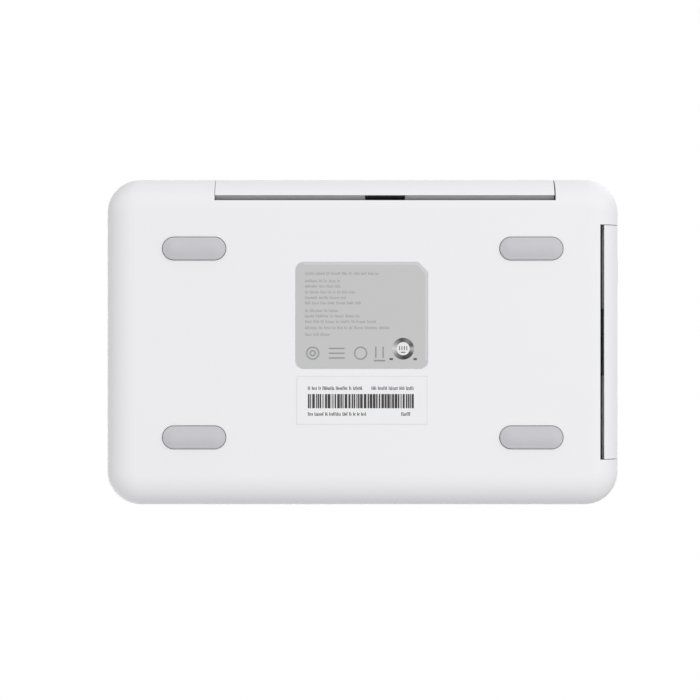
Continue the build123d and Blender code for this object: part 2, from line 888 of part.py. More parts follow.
def gear_outline(teeth, phase):
    """Involute teeth, thinned by the backlash. Angles run from +Y towards +Z."""
    pitch = gear_module * teeth / 2
    base = pitch * math.cos(math.radians(pressure_angle))
    tip = pitch + gear_addendum * gear_module
    root = pitch - gear_dedendum * gear_module
    half = math.pi / (2 * teeth) - gear_backlash / (2 * pitch)

    def involute(radius):
        angle = math.acos(min(1.0, base / radius))
        return math.tan(angle) - angle

    flank = [root] + [max(base, root) + (tip - max(base, root)) * step / 3 for step in range(4)]
    points = []
    for tooth in range(teeth):
        middle = phase + 2 * math.pi * tooth / teeth
        widths = [half + involute(pitch) - involute(max(radius, base)) for radius in flank]
        left = [(radius, middle - width) for radius, width in zip(flank, widths)]
        right = [(radius, middle + width) for radius, width in zip(flank, widths)]
        points += left + right[::-1]
    return [(radius * math.cos(angle), radius * math.sin(angle)) for radius, angle in points]


def mesh_phase(phase, teeth, mate_teeth, bearing):
    """Phase of the mate that puts its gap on this gear's tooth, along the line of centres."""
    line = math.radians(bearing)
    offset = ((line - phase) / (2 * math.pi / teeth)) % 1
    return line + math.pi + (offset - 0.5) * 2 * math.pi / mate_teeth


def gear(teeth, phase, axis, x0, bore):
    points = [(y + axis[0], z + axis[1]) for y, z in gear_outline(teeth, phase)]
    return outline_x(x0, x0 + gear_width, points) - rod_x(bore, x0, x0 + gear_width, axis)


idler_phase = mesh_phase(0.0, feed_teeth, idler_teeth, idler_bearing)
feed_pinion_phase = mesh_phase(idler_phase, idler_teeth, pinion_teeth, pinion_bearing)
pickup_pinion_phase = mesh_phase(0.0, pickup_teeth, pinion_teeth, pickup_pinion_bearing)
ribbon_pinion_phase = mesh_phase(0.0, takeup_teeth, pinion_teeth, ribbon_pinion_bearing)


def feed_roller():
    return roller(feed_radius, feed_axis) + rod_x(journal_radius, gear_layer - 1.0, left_plate[0], feed_axis)


def feed_gear():
    wheel = gear(feed_teeth, 0.0, feed_axis, gear_layer, journal_radius)
    for index in range(5):
        place = polar(feed_axis, 7.2, 72.0 * index)
        wheel -= rod_x(2.2, gear_layer, gear_layer + gear_width, place)
    return wheel


def idler_gear():
    bore = journal_radius + running_clearance
    wheel = gear(idler_teeth, idler_phase, idler_axis, gear_layer, bore)
    boss = rod_x(idler_boss_radius, gear_layer - idler_boss_length, gear_layer, idler_axis)
    return wheel + boss - rod_x(bore, gear_layer - idler_boss_length, gear_layer, idler_axis)


def motor(radius, length, axis):
    face = drive_plate[0]
    can = rod_x(radius, face - length, face, axis)
    can = fillet(can.edges().sort_by(Axis.X)[0], 1.0)
    can += rod_x(motor_collar_radius, face, face + 1.0, axis)
    return can - rod_x(motor_shaft_radius + running_clearance, face - length / 2, face + 1.0, axis)


def motor_pinion(axis, phase, length, layer):
    face = drive_plate[0]
    shaft = rod_x(motor_shaft_radius, face - length / 2 + part_gap, layer + gear_width + 0.8, axis)
    return shaft + gear(pinion_teeth, phase, axis, layer, motor_shaft_radius - 0.2)


def pickup_shaft():
    shaft = rod_x(journal_radius, pickup_layer - 0.4, right_plate[1] + 1.0, pickup_axis)
    shaft += rod_x(journal_radius + 0.6, left_plate[1] + part_gap, right_plate[0] - part_gap, pickup_axis)
    wheel = gear(pickup_teeth, 0.0, pickup_axis, pickup_layer, journal_radius - 0.2)
    return shaft + wheel


def pickup_tyre():
    """Rubber tyre with a flat, which stands clear of the paper at rest."""
    y, z = pickup_axis
    left = path_centre - pickup_width / 2
    right = path_centre + pickup_width / 2
    tyre = rod_x(pickup_radius, left, right, pickup_axis)
    tyre -= block(left, right, y - pickup_radius, y + pickup_radius, z - pickup_radius - 1, z - pickup_flat)
    return tyre - rod_x(journal_radius + 0.6, left, right, pickup_axis)


def hub(axis):
    nose_end = cassette_left + 6.0
    part = rod_x(hub_radius, left_plate[0] - 0.9, left_plate[1] + 0.5, axis)
    part += rod_x(4.2, left_plate[1] + part_gap, left_plate[1] + 1.6, axis)
    part += rod_x(hub_nose_radius, left_plate[1] + 1.6, nose_end, axis)
    return part


def takeup_hub():
    part = hub(takeup_axis) + rod_x(hub_radius, gear_layer, left_plate[0], takeup_axis)
    return part + gear(takeup_teeth, 0.0, takeup_axis, gear_layer, hub_radius - 0.2)


def supply_hub():
    return hub(supply_axis) + rod_x(4.0, left_plate[0] - 1.3, left_plate[0] - part_gap, supply_axis)


def spool(axis):
    left = cassette_left - 1.6
    core = rod_x(spool_core_radius, left, cassette_right - part_gap, axis)
    core += rod_x(2.0, cassette_right - 1.0, cassette_right + 3.0, axis)
    return core - rod_x(spool_bore_radius, left, cassette_left + 6.5, axis)


def film_roll(axis, radius):
    half = film_width / 2
    roll = rod_x(radius, path_centre - half, path_centre + half, axis)
    return roll - rod_x(spool_core_radius, path_centre - half, path_centre + half, axis)


def tangent_point(axis, radius, point, side):
    """Where the line from point touches the underside of a roll."""
    dy = point[0] - axis[0]
    dz = point[1] - axis[1]
    spread = math.acos(radius / math.hypot(dy, dz))
    angle = math.atan2(dz, dy) + side * spread
    return (axis[0] + radius * math.cos(angle), axis[1] + radius * math.sin(angle))


def ribbon_film():
    half_bar = head_bar_depth / 2 + 1.5
    rear_line = (head_y + half_bar, film_z)
    front_line = (head_y - half_bar, film_z)
    roll_gap = 0.2
    start = tangent_point(supply_axis, supply_roll_radius + roll_gap, rear_line, 1)
    end = tangent_point(takeup_axis, takeup_roll_radius + roll_gap, front_line, -1)
    path = [start, rear_line, front_line, end]
    below = [(y, z - film_thickness) for y, z in path]
    half = film_width / 2
    return outline_x(path_centre - half, path_centre + half, path + below[::-1])


def ribbon_cassette():
    inner = cassette_tube_radius - cassette_wall
    half = film_width / 2 + 0.6
    shell = None
    towards_head = (
        (supply_axis, -cassette_slot_outer, cassette_slot_inner),
        (takeup_axis, -cassette_slot_inner, cassette_slot_outer),
    )
    for axis, slot_start, slot_end in towards_head:
        tube = rod_x(cassette_tube_radius, cassette_left, cassette_right, axis)
        tube -= rod_x(inner, cassette_left, cassette_right, axis)
        tube -= block(
            path_centre - half,
            path_centre + half,
            axis[0] + slot_start,
            axis[0] + slot_end,
            spool_z - cassette_tube_radius - 1,
            spool_z - cassette_slot_below,
        )
        shell = tube if shell is None else shell + tube
    for x in (cassette_left, cassette_right - cassette_rail):
        low = spool_z - cassette_rail_below
        rail = block(x, x + cassette_rail, takeup_y, supply_y, low, spool_z + cassette_rail_above)
        for axis in (supply_axis, takeup_axis):
            rail -= rod_x(inner, x, x + cassette_rail, axis)
        shell += rail
    return shell + cassette_cap()


def cassette_cap():
    y0 = takeup_y - cassette_tube_radius
    y1 = supply_y + cassette_tube_radius
    cap = block(cassette_right, cassette_cap_reach, y0, y1, cassette_cap_bottom, cassette_cap_top)
    cap = fillet(cap.edges().filter_by(Axis.X), 4.0)
    middle = (y0 + y1) / 2
    low = cassette_cap_bottom
    grip_left = cassette_right + grip_wall
    cap -= block(grip_left, cassette_cap_reach, middle - grip_half, middle + grip_half, low - 1, grip_top)
    cap += block(grip_left, cassette_cap_reach, middle - 1.0, middle + 1.0, low, grip_top)
    for axis in (supply_axis, takeup_axis):
        cap -= rod_x(2.0 + running_clearance, cassette_right, cassette_right + 3.4, axis)
    return cap


def head_arm():
    left = path_centre - arm_span / 2
    right = path_centre + arm_span / 2
    arm = block(left, right, arm_front, arm_rear, arm_z, arm_z + sheet)
    for x in (left, right - sheet):
        flange = block(x, x + sheet, arm_front, pivot_y, arm_z - arm_flange, arm_z + sheet)
        arm += flange + rod_x(pivot_ring, x, x + sheet, (pivot_y, pivot_z))
    for x in (left, right - sheet):
        arm -= rod_x(pivot_radius + running_clearance, x, x + sheet, (pivot_y, pivot_z))
    window = Box(arm_window[0], arm_window[1], 2 * sheet)
    return arm - Pos(path_centre, (spring_y + arm_rear) / 2, arm_z) * window


def head_pivot_shaft():
    shaft = rod_x(pivot_radius, left_plate[0], right_plate[1], (pivot_y, pivot_z))
    shaft += rod_x(pivot_radius + 1.0, left_plate[0] - 0.8, left_plate[0], (pivot_y, pivot_z))
    return shaft + rod_x(pivot_radius + 1.0, right_plate[1], right_plate[1] + 0.8, (pivot_y, pivot_z))


def head_bottom():
    return film_z + head_gap


def heat_sink():
    low = head_bottom() + head_bar_height
    half = head_sink_width / 2
    y0 = head_y - head_sink_depth / 2
    y1 = head_y + head_sink_depth / 2
    fin_low = low + head_sink_base
    sink = block(path_centre - half, path_centre + half, y0, y1, low, fin_low)
    fins = int((head_sink_width - fin_thickness) // fin_pitch) + 1
    start = path_centre - (fins - 1) * fin_pitch / 2
    for index in range(fins):
        x = start + index * fin_pitch
        sink += block(x - fin_thickness / 2, x + fin_thickness / 2, y0, y1, fin_low - 0.5, arm_z)
    return sink


def thermal_head():
    half = head_bar_width / 2
    y0 = head_y - head_bar_depth / 2
    y1 = head_y + head_bar_depth / 2
    low = head_bottom()
    bar = block(path_centre - half, path_centre + half, y0, y1, low, low + head_bar_height)
    bar = chamfer(bar.edges().filter_by(Axis.X).group_by(Axis.Z)[0], 1.2)
    return bar


def head_springs():
    """Two springs that press the head's arm down, with ground ends."""
    springs = []
    low = arm_z + sheet
    height = side_plate_top - low
    pitch = (height - 2 * spring_wire) / spring_turns
    for side in (-1, 1):
        helix = Helix(pitch, height - 2 * spring_wire, spring_radius)
        section = Plane(origin=helix @ 0, z_dir=helix % 0) * Circle(spring_wire)
        coil = sweep(section, path=helix, is_frenet=True)
        place = Pos(path_centre + side * spring_spread / 2, spring_y, low + spring_wire)
        springs.append(place * coil)
    return springs


def cassette_latch():
    x0 = right_plate[1] + part_gap
    x1 = x0 + latch_thickness
    half = latch_width / 2
    bar = block(x0, x1, latch_y - half, latch_y + half, latch_z - latch_length, latch_z)
    bar += rod_x(half + 0.6, x0, x1, (latch_y, latch_z))
    low = latch_z - latch_length
    bar += block(x1 - 0.5, x1 + latch_tab, latch_y - half, latch_y + half, low, low + 1.6)
    return bar - rod_x(latch_pin_radius + running_clearance, x0, x1, (latch_y, latch_z))


def power_button():
    place = (button_x, button_y)
    top = case_height - 0.1
    flange_top = case_height - wall - 1.4
    cap = rod_z(button_radius, flange_top - 1.4, top, place)
    cap = fillet(cap.edges().sort_by(Axis.Z)[-1], 0.6)
    cap += rod_z(button_flange, flange_top - 1.4, flange_top, place)
    stem_end = button_board_z + board_thickness + switch_height + button_travel + part_gap
    return cap + rod_z(button_stem_radius, stem_end, flange_top, place)


def button_light_ring():
    place = (button_x, button_y)
    under = case_height - wall
    ring = rod_z(ring_outer, under - 0.2, case_height - 0.05, place)
    ring += rod_z(ring_flange, under - 1.1, under, place)
    return ring - rod_z(ring_inner, under - 1.1, case_height, place)


def button_board():
    top = button_board_z + board_thickness
    x = button_x + button_board_offset[0]
    y = button_y + button_board_offset[1]
    board = Box(button_board_size[0], button_board_size[1], board_thickness)
    board = Pos(x, y, top - board_thickness / 2) * board
    body_height = switch_height - 0.9
    board += Pos(button_x, button_y, top + body_height / 2) * Box(switch_body, switch_body, body_height)
    return board + rod_z(switch_body / 4, top + body_height, top + switch_height, (button_x, button_y))


def fan_frame():
    half = fan_size / 2
    rear = rear_face - wall - fan_seat
    front = rear - fan_depth
    frame = block(fan_x - half, fan_x + half, front, rear, fan_z - half, fan_z + half)
    frame = fillet(frame.edges().filter_by(Axis.Y), 2.0)
    frame -= rod_y(fan_bore, front, rear, (fan_x, fan_z))
    frame += rod_y(fan_hub, front, front + fan_strut, (fan_x, fan_z))
    for index in range(3):
        strut = block(fan_hub - 1, fan_bore + 0.5, front, front + fan_strut, -0.8, 0.8)
        frame += Pos(fan_x, 0, fan_z) * Rot(0, 120 * index + 15, 0) * strut
    for x in (-1, 1):
        for z in (-1, 1):
            place = (fan_x + x * (half - fan_screw_inset), fan_z + z * (half - fan_screw_inset))
            frame -= rod_y(1.0, front, rear, place)
    return frame - rod_y(1.0 + running_clearance, front, front + fan_strut, (fan_x, fan_z))


def fan_rotor():
    rear = rear_face - wall - fan_seat - fan_tip_gap
    front = rear - fan_depth + 2 * fan_strut
    rotor = rod_y(fan_hub, front, rear, (0, 0))
    root = fan_hub - fan_blade_thickness
    blade_length = fan_bore - fan_tip_gap - root
    for index in range(fan_blades):
        blade = Rot(40, 0, 0) * Box(blade_length, fan_blade_thickness, fan_chord)
        blade = Pos(root + blade_length / 2, (front + rear) / 2, 0) * blade
        rotor += Rot(0, 360 / fan_blades * index, 0) * blade
    rotor &= rod_y(fan_bore - fan_tip_gap, front, rear, (0, 0))
    rotor += rod_y(1.0, front - 1.6, front + 1, (0, 0))
    return Pos(fan_x, 0, fan_z) * rotor


def dc_jack():
    mouth = rear_face - 0.2
    half = jack_width / 2
    low = jack_z - jack_height / 2
    body = block(jack_x - half, jack_x + half, mouth - jack_depth, mouth, low, low + jack_height)
    body -= rod_y(jack_bore_radius, mouth - jack_bore_depth, mouth, (jack_x, jack_z))
    return body + rod_y(jack_pin_radius, mouth - jack_bore_depth - 1, mouth - 0.6, (jack_x, jack_z))


def board(limits, z):
    left, right, front, rear = limits
    return block(left, right, front, rear, z, z + board_thickness)


def main_board_part():
    """Circuit board with its chips, connectors and capacitors, all under the base plate."""
    part = board(main_board, main_board_z)
    top = main_board_z + board_thickness
    left, right, front, rear = main_board
    middle = ((left + right) / 2, (front + rear) / 2)
    half = ((right - left) / 2, (rear - front) / 2)
    for share_x, share_y, length, width, height in (
        (-0.14, 0.04, 15.0, 15.0, 1.2),
        (0.29, 0.13, 10.0, 12.0, 1.1),
        (-0.61, -0.43, 9.0, 7.0, 1.5),
        (-0.82, 0.39, 4.5, 22.0, 3.2),
        (0.79, -0.30, 5.0, 26.0, 3.0),
        (0.18, -0.83, 24.0, 4.0, 3.0),
        (-0.36, 0.74, 12.0, 12.0, 3.0),
    ):
        place = Pos(middle[0] + share_x * half[0], middle[1] + share_y * half[1], top + height / 2 - 0.05)
        part += place * Box(length, width, height + 0.1)
    for share in (0.43, 0.59, 0.75):
        place = (middle[0] + share * half[0], middle[1] + 0.7 * half[1])
        part += rod_z(capacitor_radius, top - 0.1, top + capacitor_height, place)
    return part


def power_board_part():
    part = board(power_board, power_board_z)
    top = power_board_z + board_thickness
    right = power_board[1]
    place = (right - board_post_inset, power_board[2] + capacitor_radius + plug_inset)
    part += rod_z(capacitor_radius, top - 0.1, top + 2 * capacitor_height, place)
    plug_right = right - plug_inset
    y = power_board[3] - plug_inset
    plug_top = top + capacitor_height
    return part + block(plug_right - plug_length, plug_right, y - plug_width, y, top - 0.1, plug_top)


os.makedirs("parts", exist_ok=True)


def save(name, shape):
    if isinstance(shape, list):
        shape = Compound(children=[solid for item in shape for solid in item.solids()])
    export_step(shape, f"parts/{name}.step")


def main():
    save("bottom_cover", bottom_cover())
    save("upper_housing", upper_housing())
    save("top_cover", top_cover())
    save("front_door", front_door())
    save("side_door", side_door())
    save("front_hinge_rod", front_hinge_rod())
    save("side_hinge_rod", side_hinge_rod())
    save("front_hinge_bracket", front_hinge_bracket())
    save("side_hinge_bracket", side_hinge_bracket())
    for name, place in zip(("front_left", "rear_left", "front_right", "rear_right"), foot_places):
        save(f"foot_{name}", foot(place))
    save("rating_plate", rating_plate())
    save("serial_label", serial_label())
    save("case_screws", case_screws())
    save("base_plate", base_plate())
    save("side_plate_left", side_plate_left())
    save("side_plate_right", side_plate_right())
    save("drive_plate", drive_plate_part())
    save("top_tie", top_tie())
    save("paper_deck", paper_deck())
    save("tray_rails", tray_rails())
    save("rear_paper_guide", rear_paper_guide())
    save("main_board", main_board_part())
    save("power_board", power_board_part())
    save("dc_jack", dc_jack())
    save("fan_frame", fan_frame())
    save("fan_rotor", fan_rotor())
    save("feed_motor", motor(feed_motor_radius, feed_motor_length, feed_motor_axis))
    save("pickup_motor", motor(pickup_motor_radius, pickup_motor_length, pickup_motor_axis))
    save("ribbon_motor", motor(ribbon_motor_radius, ribbon_motor_length, ribbon_motor_axis))
    for name, axis, phase, length, layer in (
        ("feed", feed_motor_axis, feed_pinion_phase, feed_motor_length, gear_layer),
        ("pickup", pickup_motor_axis, pickup_pinion_phase, pickup_motor_length, pickup_layer),
        ("ribbon", ribbon_motor_axis, ribbon_pinion_phase, ribbon_motor_length, gear_layer),
    ):
        save(f"{name}_pinion", motor_pinion(axis, phase, length, layer))
    save("feed_roller", feed_roller())
    save("feed_gear", feed_gear())
    save("idler_gear", idler_gear())
    save("pinch_roller", roller(pinch_radius, (feed_y, pinch_z)))
    save("platen_roller", roller(platen_radius, (head_y, platen_z)))
    save("pickup_shaft", pickup_shaft())
    save("pickup_tyre", pickup_tyre())
    save("takeup_hub", takeup_hub())
    save("supply_hub", supply_hub())
    save("takeup_spool", spool(takeup_axis))
    save("supply_spool", spool(supply_axis))
    save("takeup_film", film_roll(takeup_axis, takeup_roll_radius))
    save("supply_film", film_roll(supply_axis, supply_roll_radius))
    save("ribbon_film", ribbon_film())
    save("ribbon_cassette", ribbon_cassette())
    save("head_arm", head_arm())
    save("head_pivot_shaft", head_pivot_shaft())
    save("heat_sink", heat_sink())
    save("thermal_head", thermal_head())
    save("head_springs", head_springs())
    save("cassette_latch", cassette_latch())
    save("power_button", power_button())
    save("button_light_ring", button_light_ring())
    save("button_board", button_board())
    save("rear_flap", rear_flap())


main()
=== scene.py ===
import json
import math
import random

import bmesh
import bpy
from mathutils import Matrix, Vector


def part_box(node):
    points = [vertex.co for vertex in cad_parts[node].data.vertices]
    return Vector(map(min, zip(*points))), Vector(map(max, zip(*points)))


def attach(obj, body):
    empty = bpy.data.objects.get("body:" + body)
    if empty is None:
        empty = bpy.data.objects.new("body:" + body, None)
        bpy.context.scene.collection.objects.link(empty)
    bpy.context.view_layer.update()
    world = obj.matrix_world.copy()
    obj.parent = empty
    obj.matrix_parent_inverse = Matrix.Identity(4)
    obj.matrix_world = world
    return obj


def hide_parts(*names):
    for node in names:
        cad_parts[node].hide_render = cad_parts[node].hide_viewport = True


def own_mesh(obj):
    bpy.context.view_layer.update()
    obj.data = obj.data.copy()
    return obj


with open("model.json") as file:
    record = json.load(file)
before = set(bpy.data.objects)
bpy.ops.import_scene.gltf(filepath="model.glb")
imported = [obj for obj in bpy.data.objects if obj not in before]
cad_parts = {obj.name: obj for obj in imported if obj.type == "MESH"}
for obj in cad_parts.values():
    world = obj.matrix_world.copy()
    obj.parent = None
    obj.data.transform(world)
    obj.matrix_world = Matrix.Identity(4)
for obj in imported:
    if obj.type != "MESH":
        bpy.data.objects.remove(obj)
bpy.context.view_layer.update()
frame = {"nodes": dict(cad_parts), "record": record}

mm = 0.001
micron = 0.000001


# Colours are picked as screen values from 0 to 255 and turned into light.
def light(red, green, blue):
    def channel(value):
        share = value / 255
        return share / 12.92 if share <= 0.04045 else ((share + 0.055) / 1.055) ** 2.4
    return (channel(red), channel(green), channel(blue), 1.0)


# Node helpers
def addNode(tree, kind, x, y, **settings):
    node = tree.nodes.new(kind)
    node.location = (x, y)
    for name, value in settings.items():
        setattr(node, name, value)
    return node


def setInputs(node, **values):
    for name, value in values.items():
        node.inputs[name.replace("_", " ")].default_value = value


def newGroup(name, inputs, outputs):
    tree = bpy.data.node_groups.new(name, "ShaderNodeTree")
    for label, kind, value in inputs:
        socket = tree.interface.new_socket(name=label, in_out="INPUT", socket_type=kind)
        socket.default_value = value
    for label, kind in outputs:
        tree.interface.new_socket(name=label, in_out="OUTPUT", socket_type=kind)
    start = addNode(tree, "NodeGroupInput", -900, 0)
    end = addNode(tree, "NodeGroupOutput", 700, 0)
    return tree, start, end


grainGloss = 0.08                      # what the grain's peaks add to the roughness


# Fine texture of a moulded face: grain for the bump, slow mottling for colour and gloss.
def makeMouldGrain():
    tree, start, end = newGroup(
        "mouldGrain",
        [
            ("Color", "NodeSocketColor", (0.8, 0.8, 0.8, 1)),
            ("Roughness", "NodeSocketFloat", 0.4),
            ("Grain Scale", "NodeSocketFloat", 2500.0),
            ("Mottle", "NodeSocketFloat", 0.02),
            ("Mottle Scale", "NodeSocketFloat", 60.0),
        ],
        [("Color", "NodeSocketColor"), ("Roughness", "NodeSocketFloat"), ("Height", "NodeSocketFloat")],
    )
    link = tree.links.new
    place = addNode(tree, "ShaderNodeTexCoord", -900, -300)
    grain = addNode(tree, "ShaderNodeTexNoise", -600, -100)
    setInputs(grain, Detail=3.0, Roughness=0.6)
    cloud = addNode(tree, "ShaderNodeTexNoise", -600, -400)
    setInputs(cloud, Detail=4.0, Roughness=0.55)
    link(place.outputs["Object"], grain.inputs["Vector"])
    link(place.outputs["Object"], cloud.inputs["Vector"])
    link(start.outputs["Grain Scale"], grain.inputs["Scale"])
    link(start.outputs["Mottle Scale"], cloud.inputs["Scale"])
    swing = addNode(tree, "ShaderNodeMath", -350, -400, operation="SUBTRACT")
    link(cloud.outputs["Fac"], swing.inputs[0])
    swing.inputs[1].default_value = 0.5
    amount = addNode(tree, "ShaderNodeMath", -150, -400, operation="MULTIPLY")
    link(swing.outputs[0], amount.inputs[0])
    link(start.outputs["Mottle"], amount.inputs[1])
    gain = addNode(tree, "ShaderNodeMath", 50, -400, operation="ADD")
    link(amount.outputs[0], gain.inputs[0])
    gain.inputs[1].default_value = 1.0
    tint = addNode(tree, "ShaderNodeVectorMath", 250, 100, operation="SCALE")
    link(start.outputs["Color"], tint.inputs[0])
    link(gain.outputs[0], tint.inputs["Scale"])
    link(tint.outputs[0], end.inputs["Color"])
    gloss = addNode(tree, "ShaderNodeMath", 50, -200, operation="MULTIPLY_ADD")
    link(grain.outputs["Fac"], gloss.inputs[0])
    gloss.inputs[1].default_value = grainGloss
    link(start.outputs["Roughness"], gloss.inputs[2])
    sheen = addNode(tree, "ShaderNodeMath", 250, -200, operation="ADD")
    link(gloss.outputs[0], sheen.inputs[0])
    link(amount.outputs[0], sheen.inputs[1])
    link(sheen.outputs[0], end.inputs["Roughness"])
    link(grain.outputs["Fac"], end.inputs["Height"])
    return tree


metalCrystals = {"scale": 260.0, "tone": 0.06}


# Long thin scratches from rolling or grinding, along one axis of the piece, over faint crystals.
def makeMetalGrain():
    tree, start, end = newGroup(
        "metalGrain",
        [
            ("Color", "NodeSocketColor", (0.6, 0.6, 0.6, 1)),
            ("Roughness", "NodeSocketFloat", 0.35),
            ("Stretch", "NodeSocketVector", (20.0, 1500.0, 1500.0)),
            ("Streak", "NodeSocketFloat", 0.12),
        ],
        [("Color", "NodeSocketColor"), ("Roughness", "NodeSocketFloat"), ("Height", "NodeSocketFloat")],
    )
    link = tree.links.new
    place = addNode(tree, "ShaderNodeTexCoord", -900, -300)
    pull = addNode(tree, "ShaderNodeVectorMath", -700, -200, operation="MULTIPLY")
    link(place.outputs["Object"], pull.inputs[0])
    link(start.outputs["Stretch"], pull.inputs[1])
    streak = addNode(tree, "ShaderNodeTexNoise", -500, -200)
    setInputs(streak, Scale=1.0, Detail=2.0)
    link(pull.outputs[0], streak.inputs["Vector"])
    spots = addNode(tree, "ShaderNodeTexVoronoi", -500, -500)
    setInputs(spots, Scale=metalCrystals["scale"])
    link(place.outputs["Object"], spots.inputs["Vector"])
    swing = addNode(tree, "ShaderNodeMath", -250, -200, operation="SUBTRACT")
    link(streak.outputs["Fac"], swing.inputs[0])
    swing.inputs[1].default_value = 0.5
    amount = addNode(tree, "ShaderNodeMath", -50, -200, operation="MULTIPLY")
    link(swing.outputs[0], amount.inputs[0])
    link(start.outputs["Streak"], amount.inputs[1])
    crystal = addNode(tree, "ShaderNodeMath", -50, -500, operation="MULTIPLY_ADD")
    link(spots.outputs["Distance"], crystal.inputs[0])
    crystal.inputs[1].default_value = metalCrystals["tone"]
    link(amount.outputs[0], crystal.inputs[2])
    gain = addNode(tree, "ShaderNodeMath", 150, -300, operation="ADD")
    link(crystal.outputs[0], gain.inputs[0])
    gain.inputs[1].default_value = 1.0
    tint = addNode(tree, "ShaderNodeVectorMath", 350, 100, operation="SCALE")
    link(start.outputs["Color"], tint.inputs[0])
    link(gain.outputs[0], tint.inputs["Scale"])
    link(tint.outputs[0], end.inputs["Color"])
    rough = addNode(tree, "ShaderNodeMath", 350, -200, operation="ADD")
    link(amount.outputs[0], rough.inputs[0])
    link(start.outputs["Roughness"], rough.inputs[1])
    link(rough.outputs[0], end.inputs["Roughness"])
    link(streak.outputs["Fac"], end.inputs["Height"])
    return tree


inkPatches = {"scale": 1800.0, "detail": 2.0}


# Printed ink: solid with slightly starved patches, so that it reads as print and not as paint.
def makeInkCover():
    tree, start, end = newGroup(
        "inkCover",
        [
            ("Ink", "NodeSocketColor", (0.05, 0.04, 0.04, 1)),
            ("Ground", "NodeSocketColor", (0.8, 0.8, 0.8, 1)),
            ("Starved", "NodeSocketFloat", 0.25),
        ],
        [("Color", "NodeSocketColor"), ("Mask", "NodeSocketFloat")],
    )
    link = tree.links.new
    place = addNode(tree, "ShaderNodeTexCoord", -900, -300)
    patch = addNode(tree, "ShaderNodeTexNoise", -600, -200)
    setInputs(patch, Scale=inkPatches["scale"], Detail=inkPatches["detail"])
    link(place.outputs["Object"], patch.inputs["Vector"])
    amount = addNode(tree, "ShaderNodeMath", -300, -200, operation="MULTIPLY")
    link(patch.outputs["Fac"], amount.inputs[0])
    link(start.outputs["Starved"], amount.inputs[1])
    mix = addNode(tree, "ShaderNodeMix", 0, 0, data_type="RGBA")
    link(amount.outputs[0], mix.inputs["Factor"])
    link(start.outputs["Ink"], mix.inputs["A"])
    link(start.outputs["Ground"], mix.inputs["B"])
    link(mix.outputs["Result"], end.inputs["Color"])
    link(amount.outputs[0], end.inputs["Mask"])
    return tree


# Painted shade: darkens what lies within a radius of a hinge's axis.
def makeBarrelShade():
    tree, start, end = newGroup(
        "barrelShade",
        [
            ("Color", "NodeSocketColor", (0.8, 0.8, 0.8, 1)),
            ("Axis Place", "NodeSocketVector", (0, 0, 0)),
            ("Across", "NodeSocketVector", (0, 1, 1)),
            ("Radius", "NodeSocketFloat", 0.002),
            ("Soft", "NodeSocketFloat", 0.0003),
            ("Shade", "NodeSocketFloat", 0.7),
        ],
        [("Color", "NodeSocketColor")],
    )
    link = tree.links.new
    place = addNode(tree, "ShaderNodeTexCoord", -900, -300)
    shift = addNode(tree, "ShaderNodeVectorMath", -700, -300, operation="SUBTRACT")
    link(place.outputs["Object"], shift.inputs[0])
    link(start.outputs["Axis Place"], shift.inputs[1])
    flat = addNode(tree, "ShaderNodeVectorMath", -500, -300, operation="MULTIPLY")
    link(shift.outputs[0], flat.inputs[0])
    link(start.outputs["Across"], flat.inputs[1])
    reach = addNode(tree, "ShaderNodeVectorMath", -300, -300, operation="LENGTH")
    link(flat.outputs[0], reach.inputs[0])
    rim = addNode(tree, "ShaderNodeMath", -300, -500, operation="ADD")
    link(start.outputs["Radius"], rim.inputs[0])
    link(start.outputs["Soft"], rim.inputs[1])
    fade = addNode(tree, "ShaderNodeMapRange", -100, -300)
    link(reach.outputs["Value"], fade.inputs["Value"])
    link(start.outputs["Radius"], fade.inputs["From Min"])
    link(rim.outputs[0], fade.inputs["From Max"])
    link(start.outputs["Shade"], fade.inputs["To Min"])
    tint = addNode(tree, "ShaderNodeVectorMath", 200, 0, operation="SCALE")
    link(start.outputs["Color"], tint.inputs[0])
    link(fade.outputs[0], tint.inputs["Scale"])
    link(tint.outputs[0], end.inputs["Color"])
    return tree


mouldGrain = makeMouldGrain()
metalGrain = makeMetalGrain()
inkCover = makeInkCover()
barrelShade = makeBarrelShade()


def startMaterial(name):
    material = bpy.data.materials.new(name)
    material.use_nodes = True
    tree = material.node_tree
    shader = tree.nodes["Principled BSDF"]
    return material, tree, shader


# Starts a material whose shader takes its colour and its roughness from a group.
def startGrained(name, grain, **values):
    material, tree, shader = startMaterial(name)
    group = addNode(tree, "ShaderNodeGroup", -600, 0, node_tree=grain)
    setInputs(group, **values)
    tree.links.new(group.outputs["Color"], shader.inputs["Base Color"])
    tree.links.new(group.outputs["Roughness"], shader.inputs["Roughness"])
    return material, tree, shader, group


def addBump(tree, shader, height, depth):
    bump = addNode(tree, "ShaderNodeBump", -300, -400)
    bump.inputs["Strength"].default_value = 1.0
    bump.inputs["Distance"].default_value = depth
    tree.links.new(height, bump.inputs["Height"])
    tree.links.new(bump.outputs["Normal"], shader.inputs["Normal"])


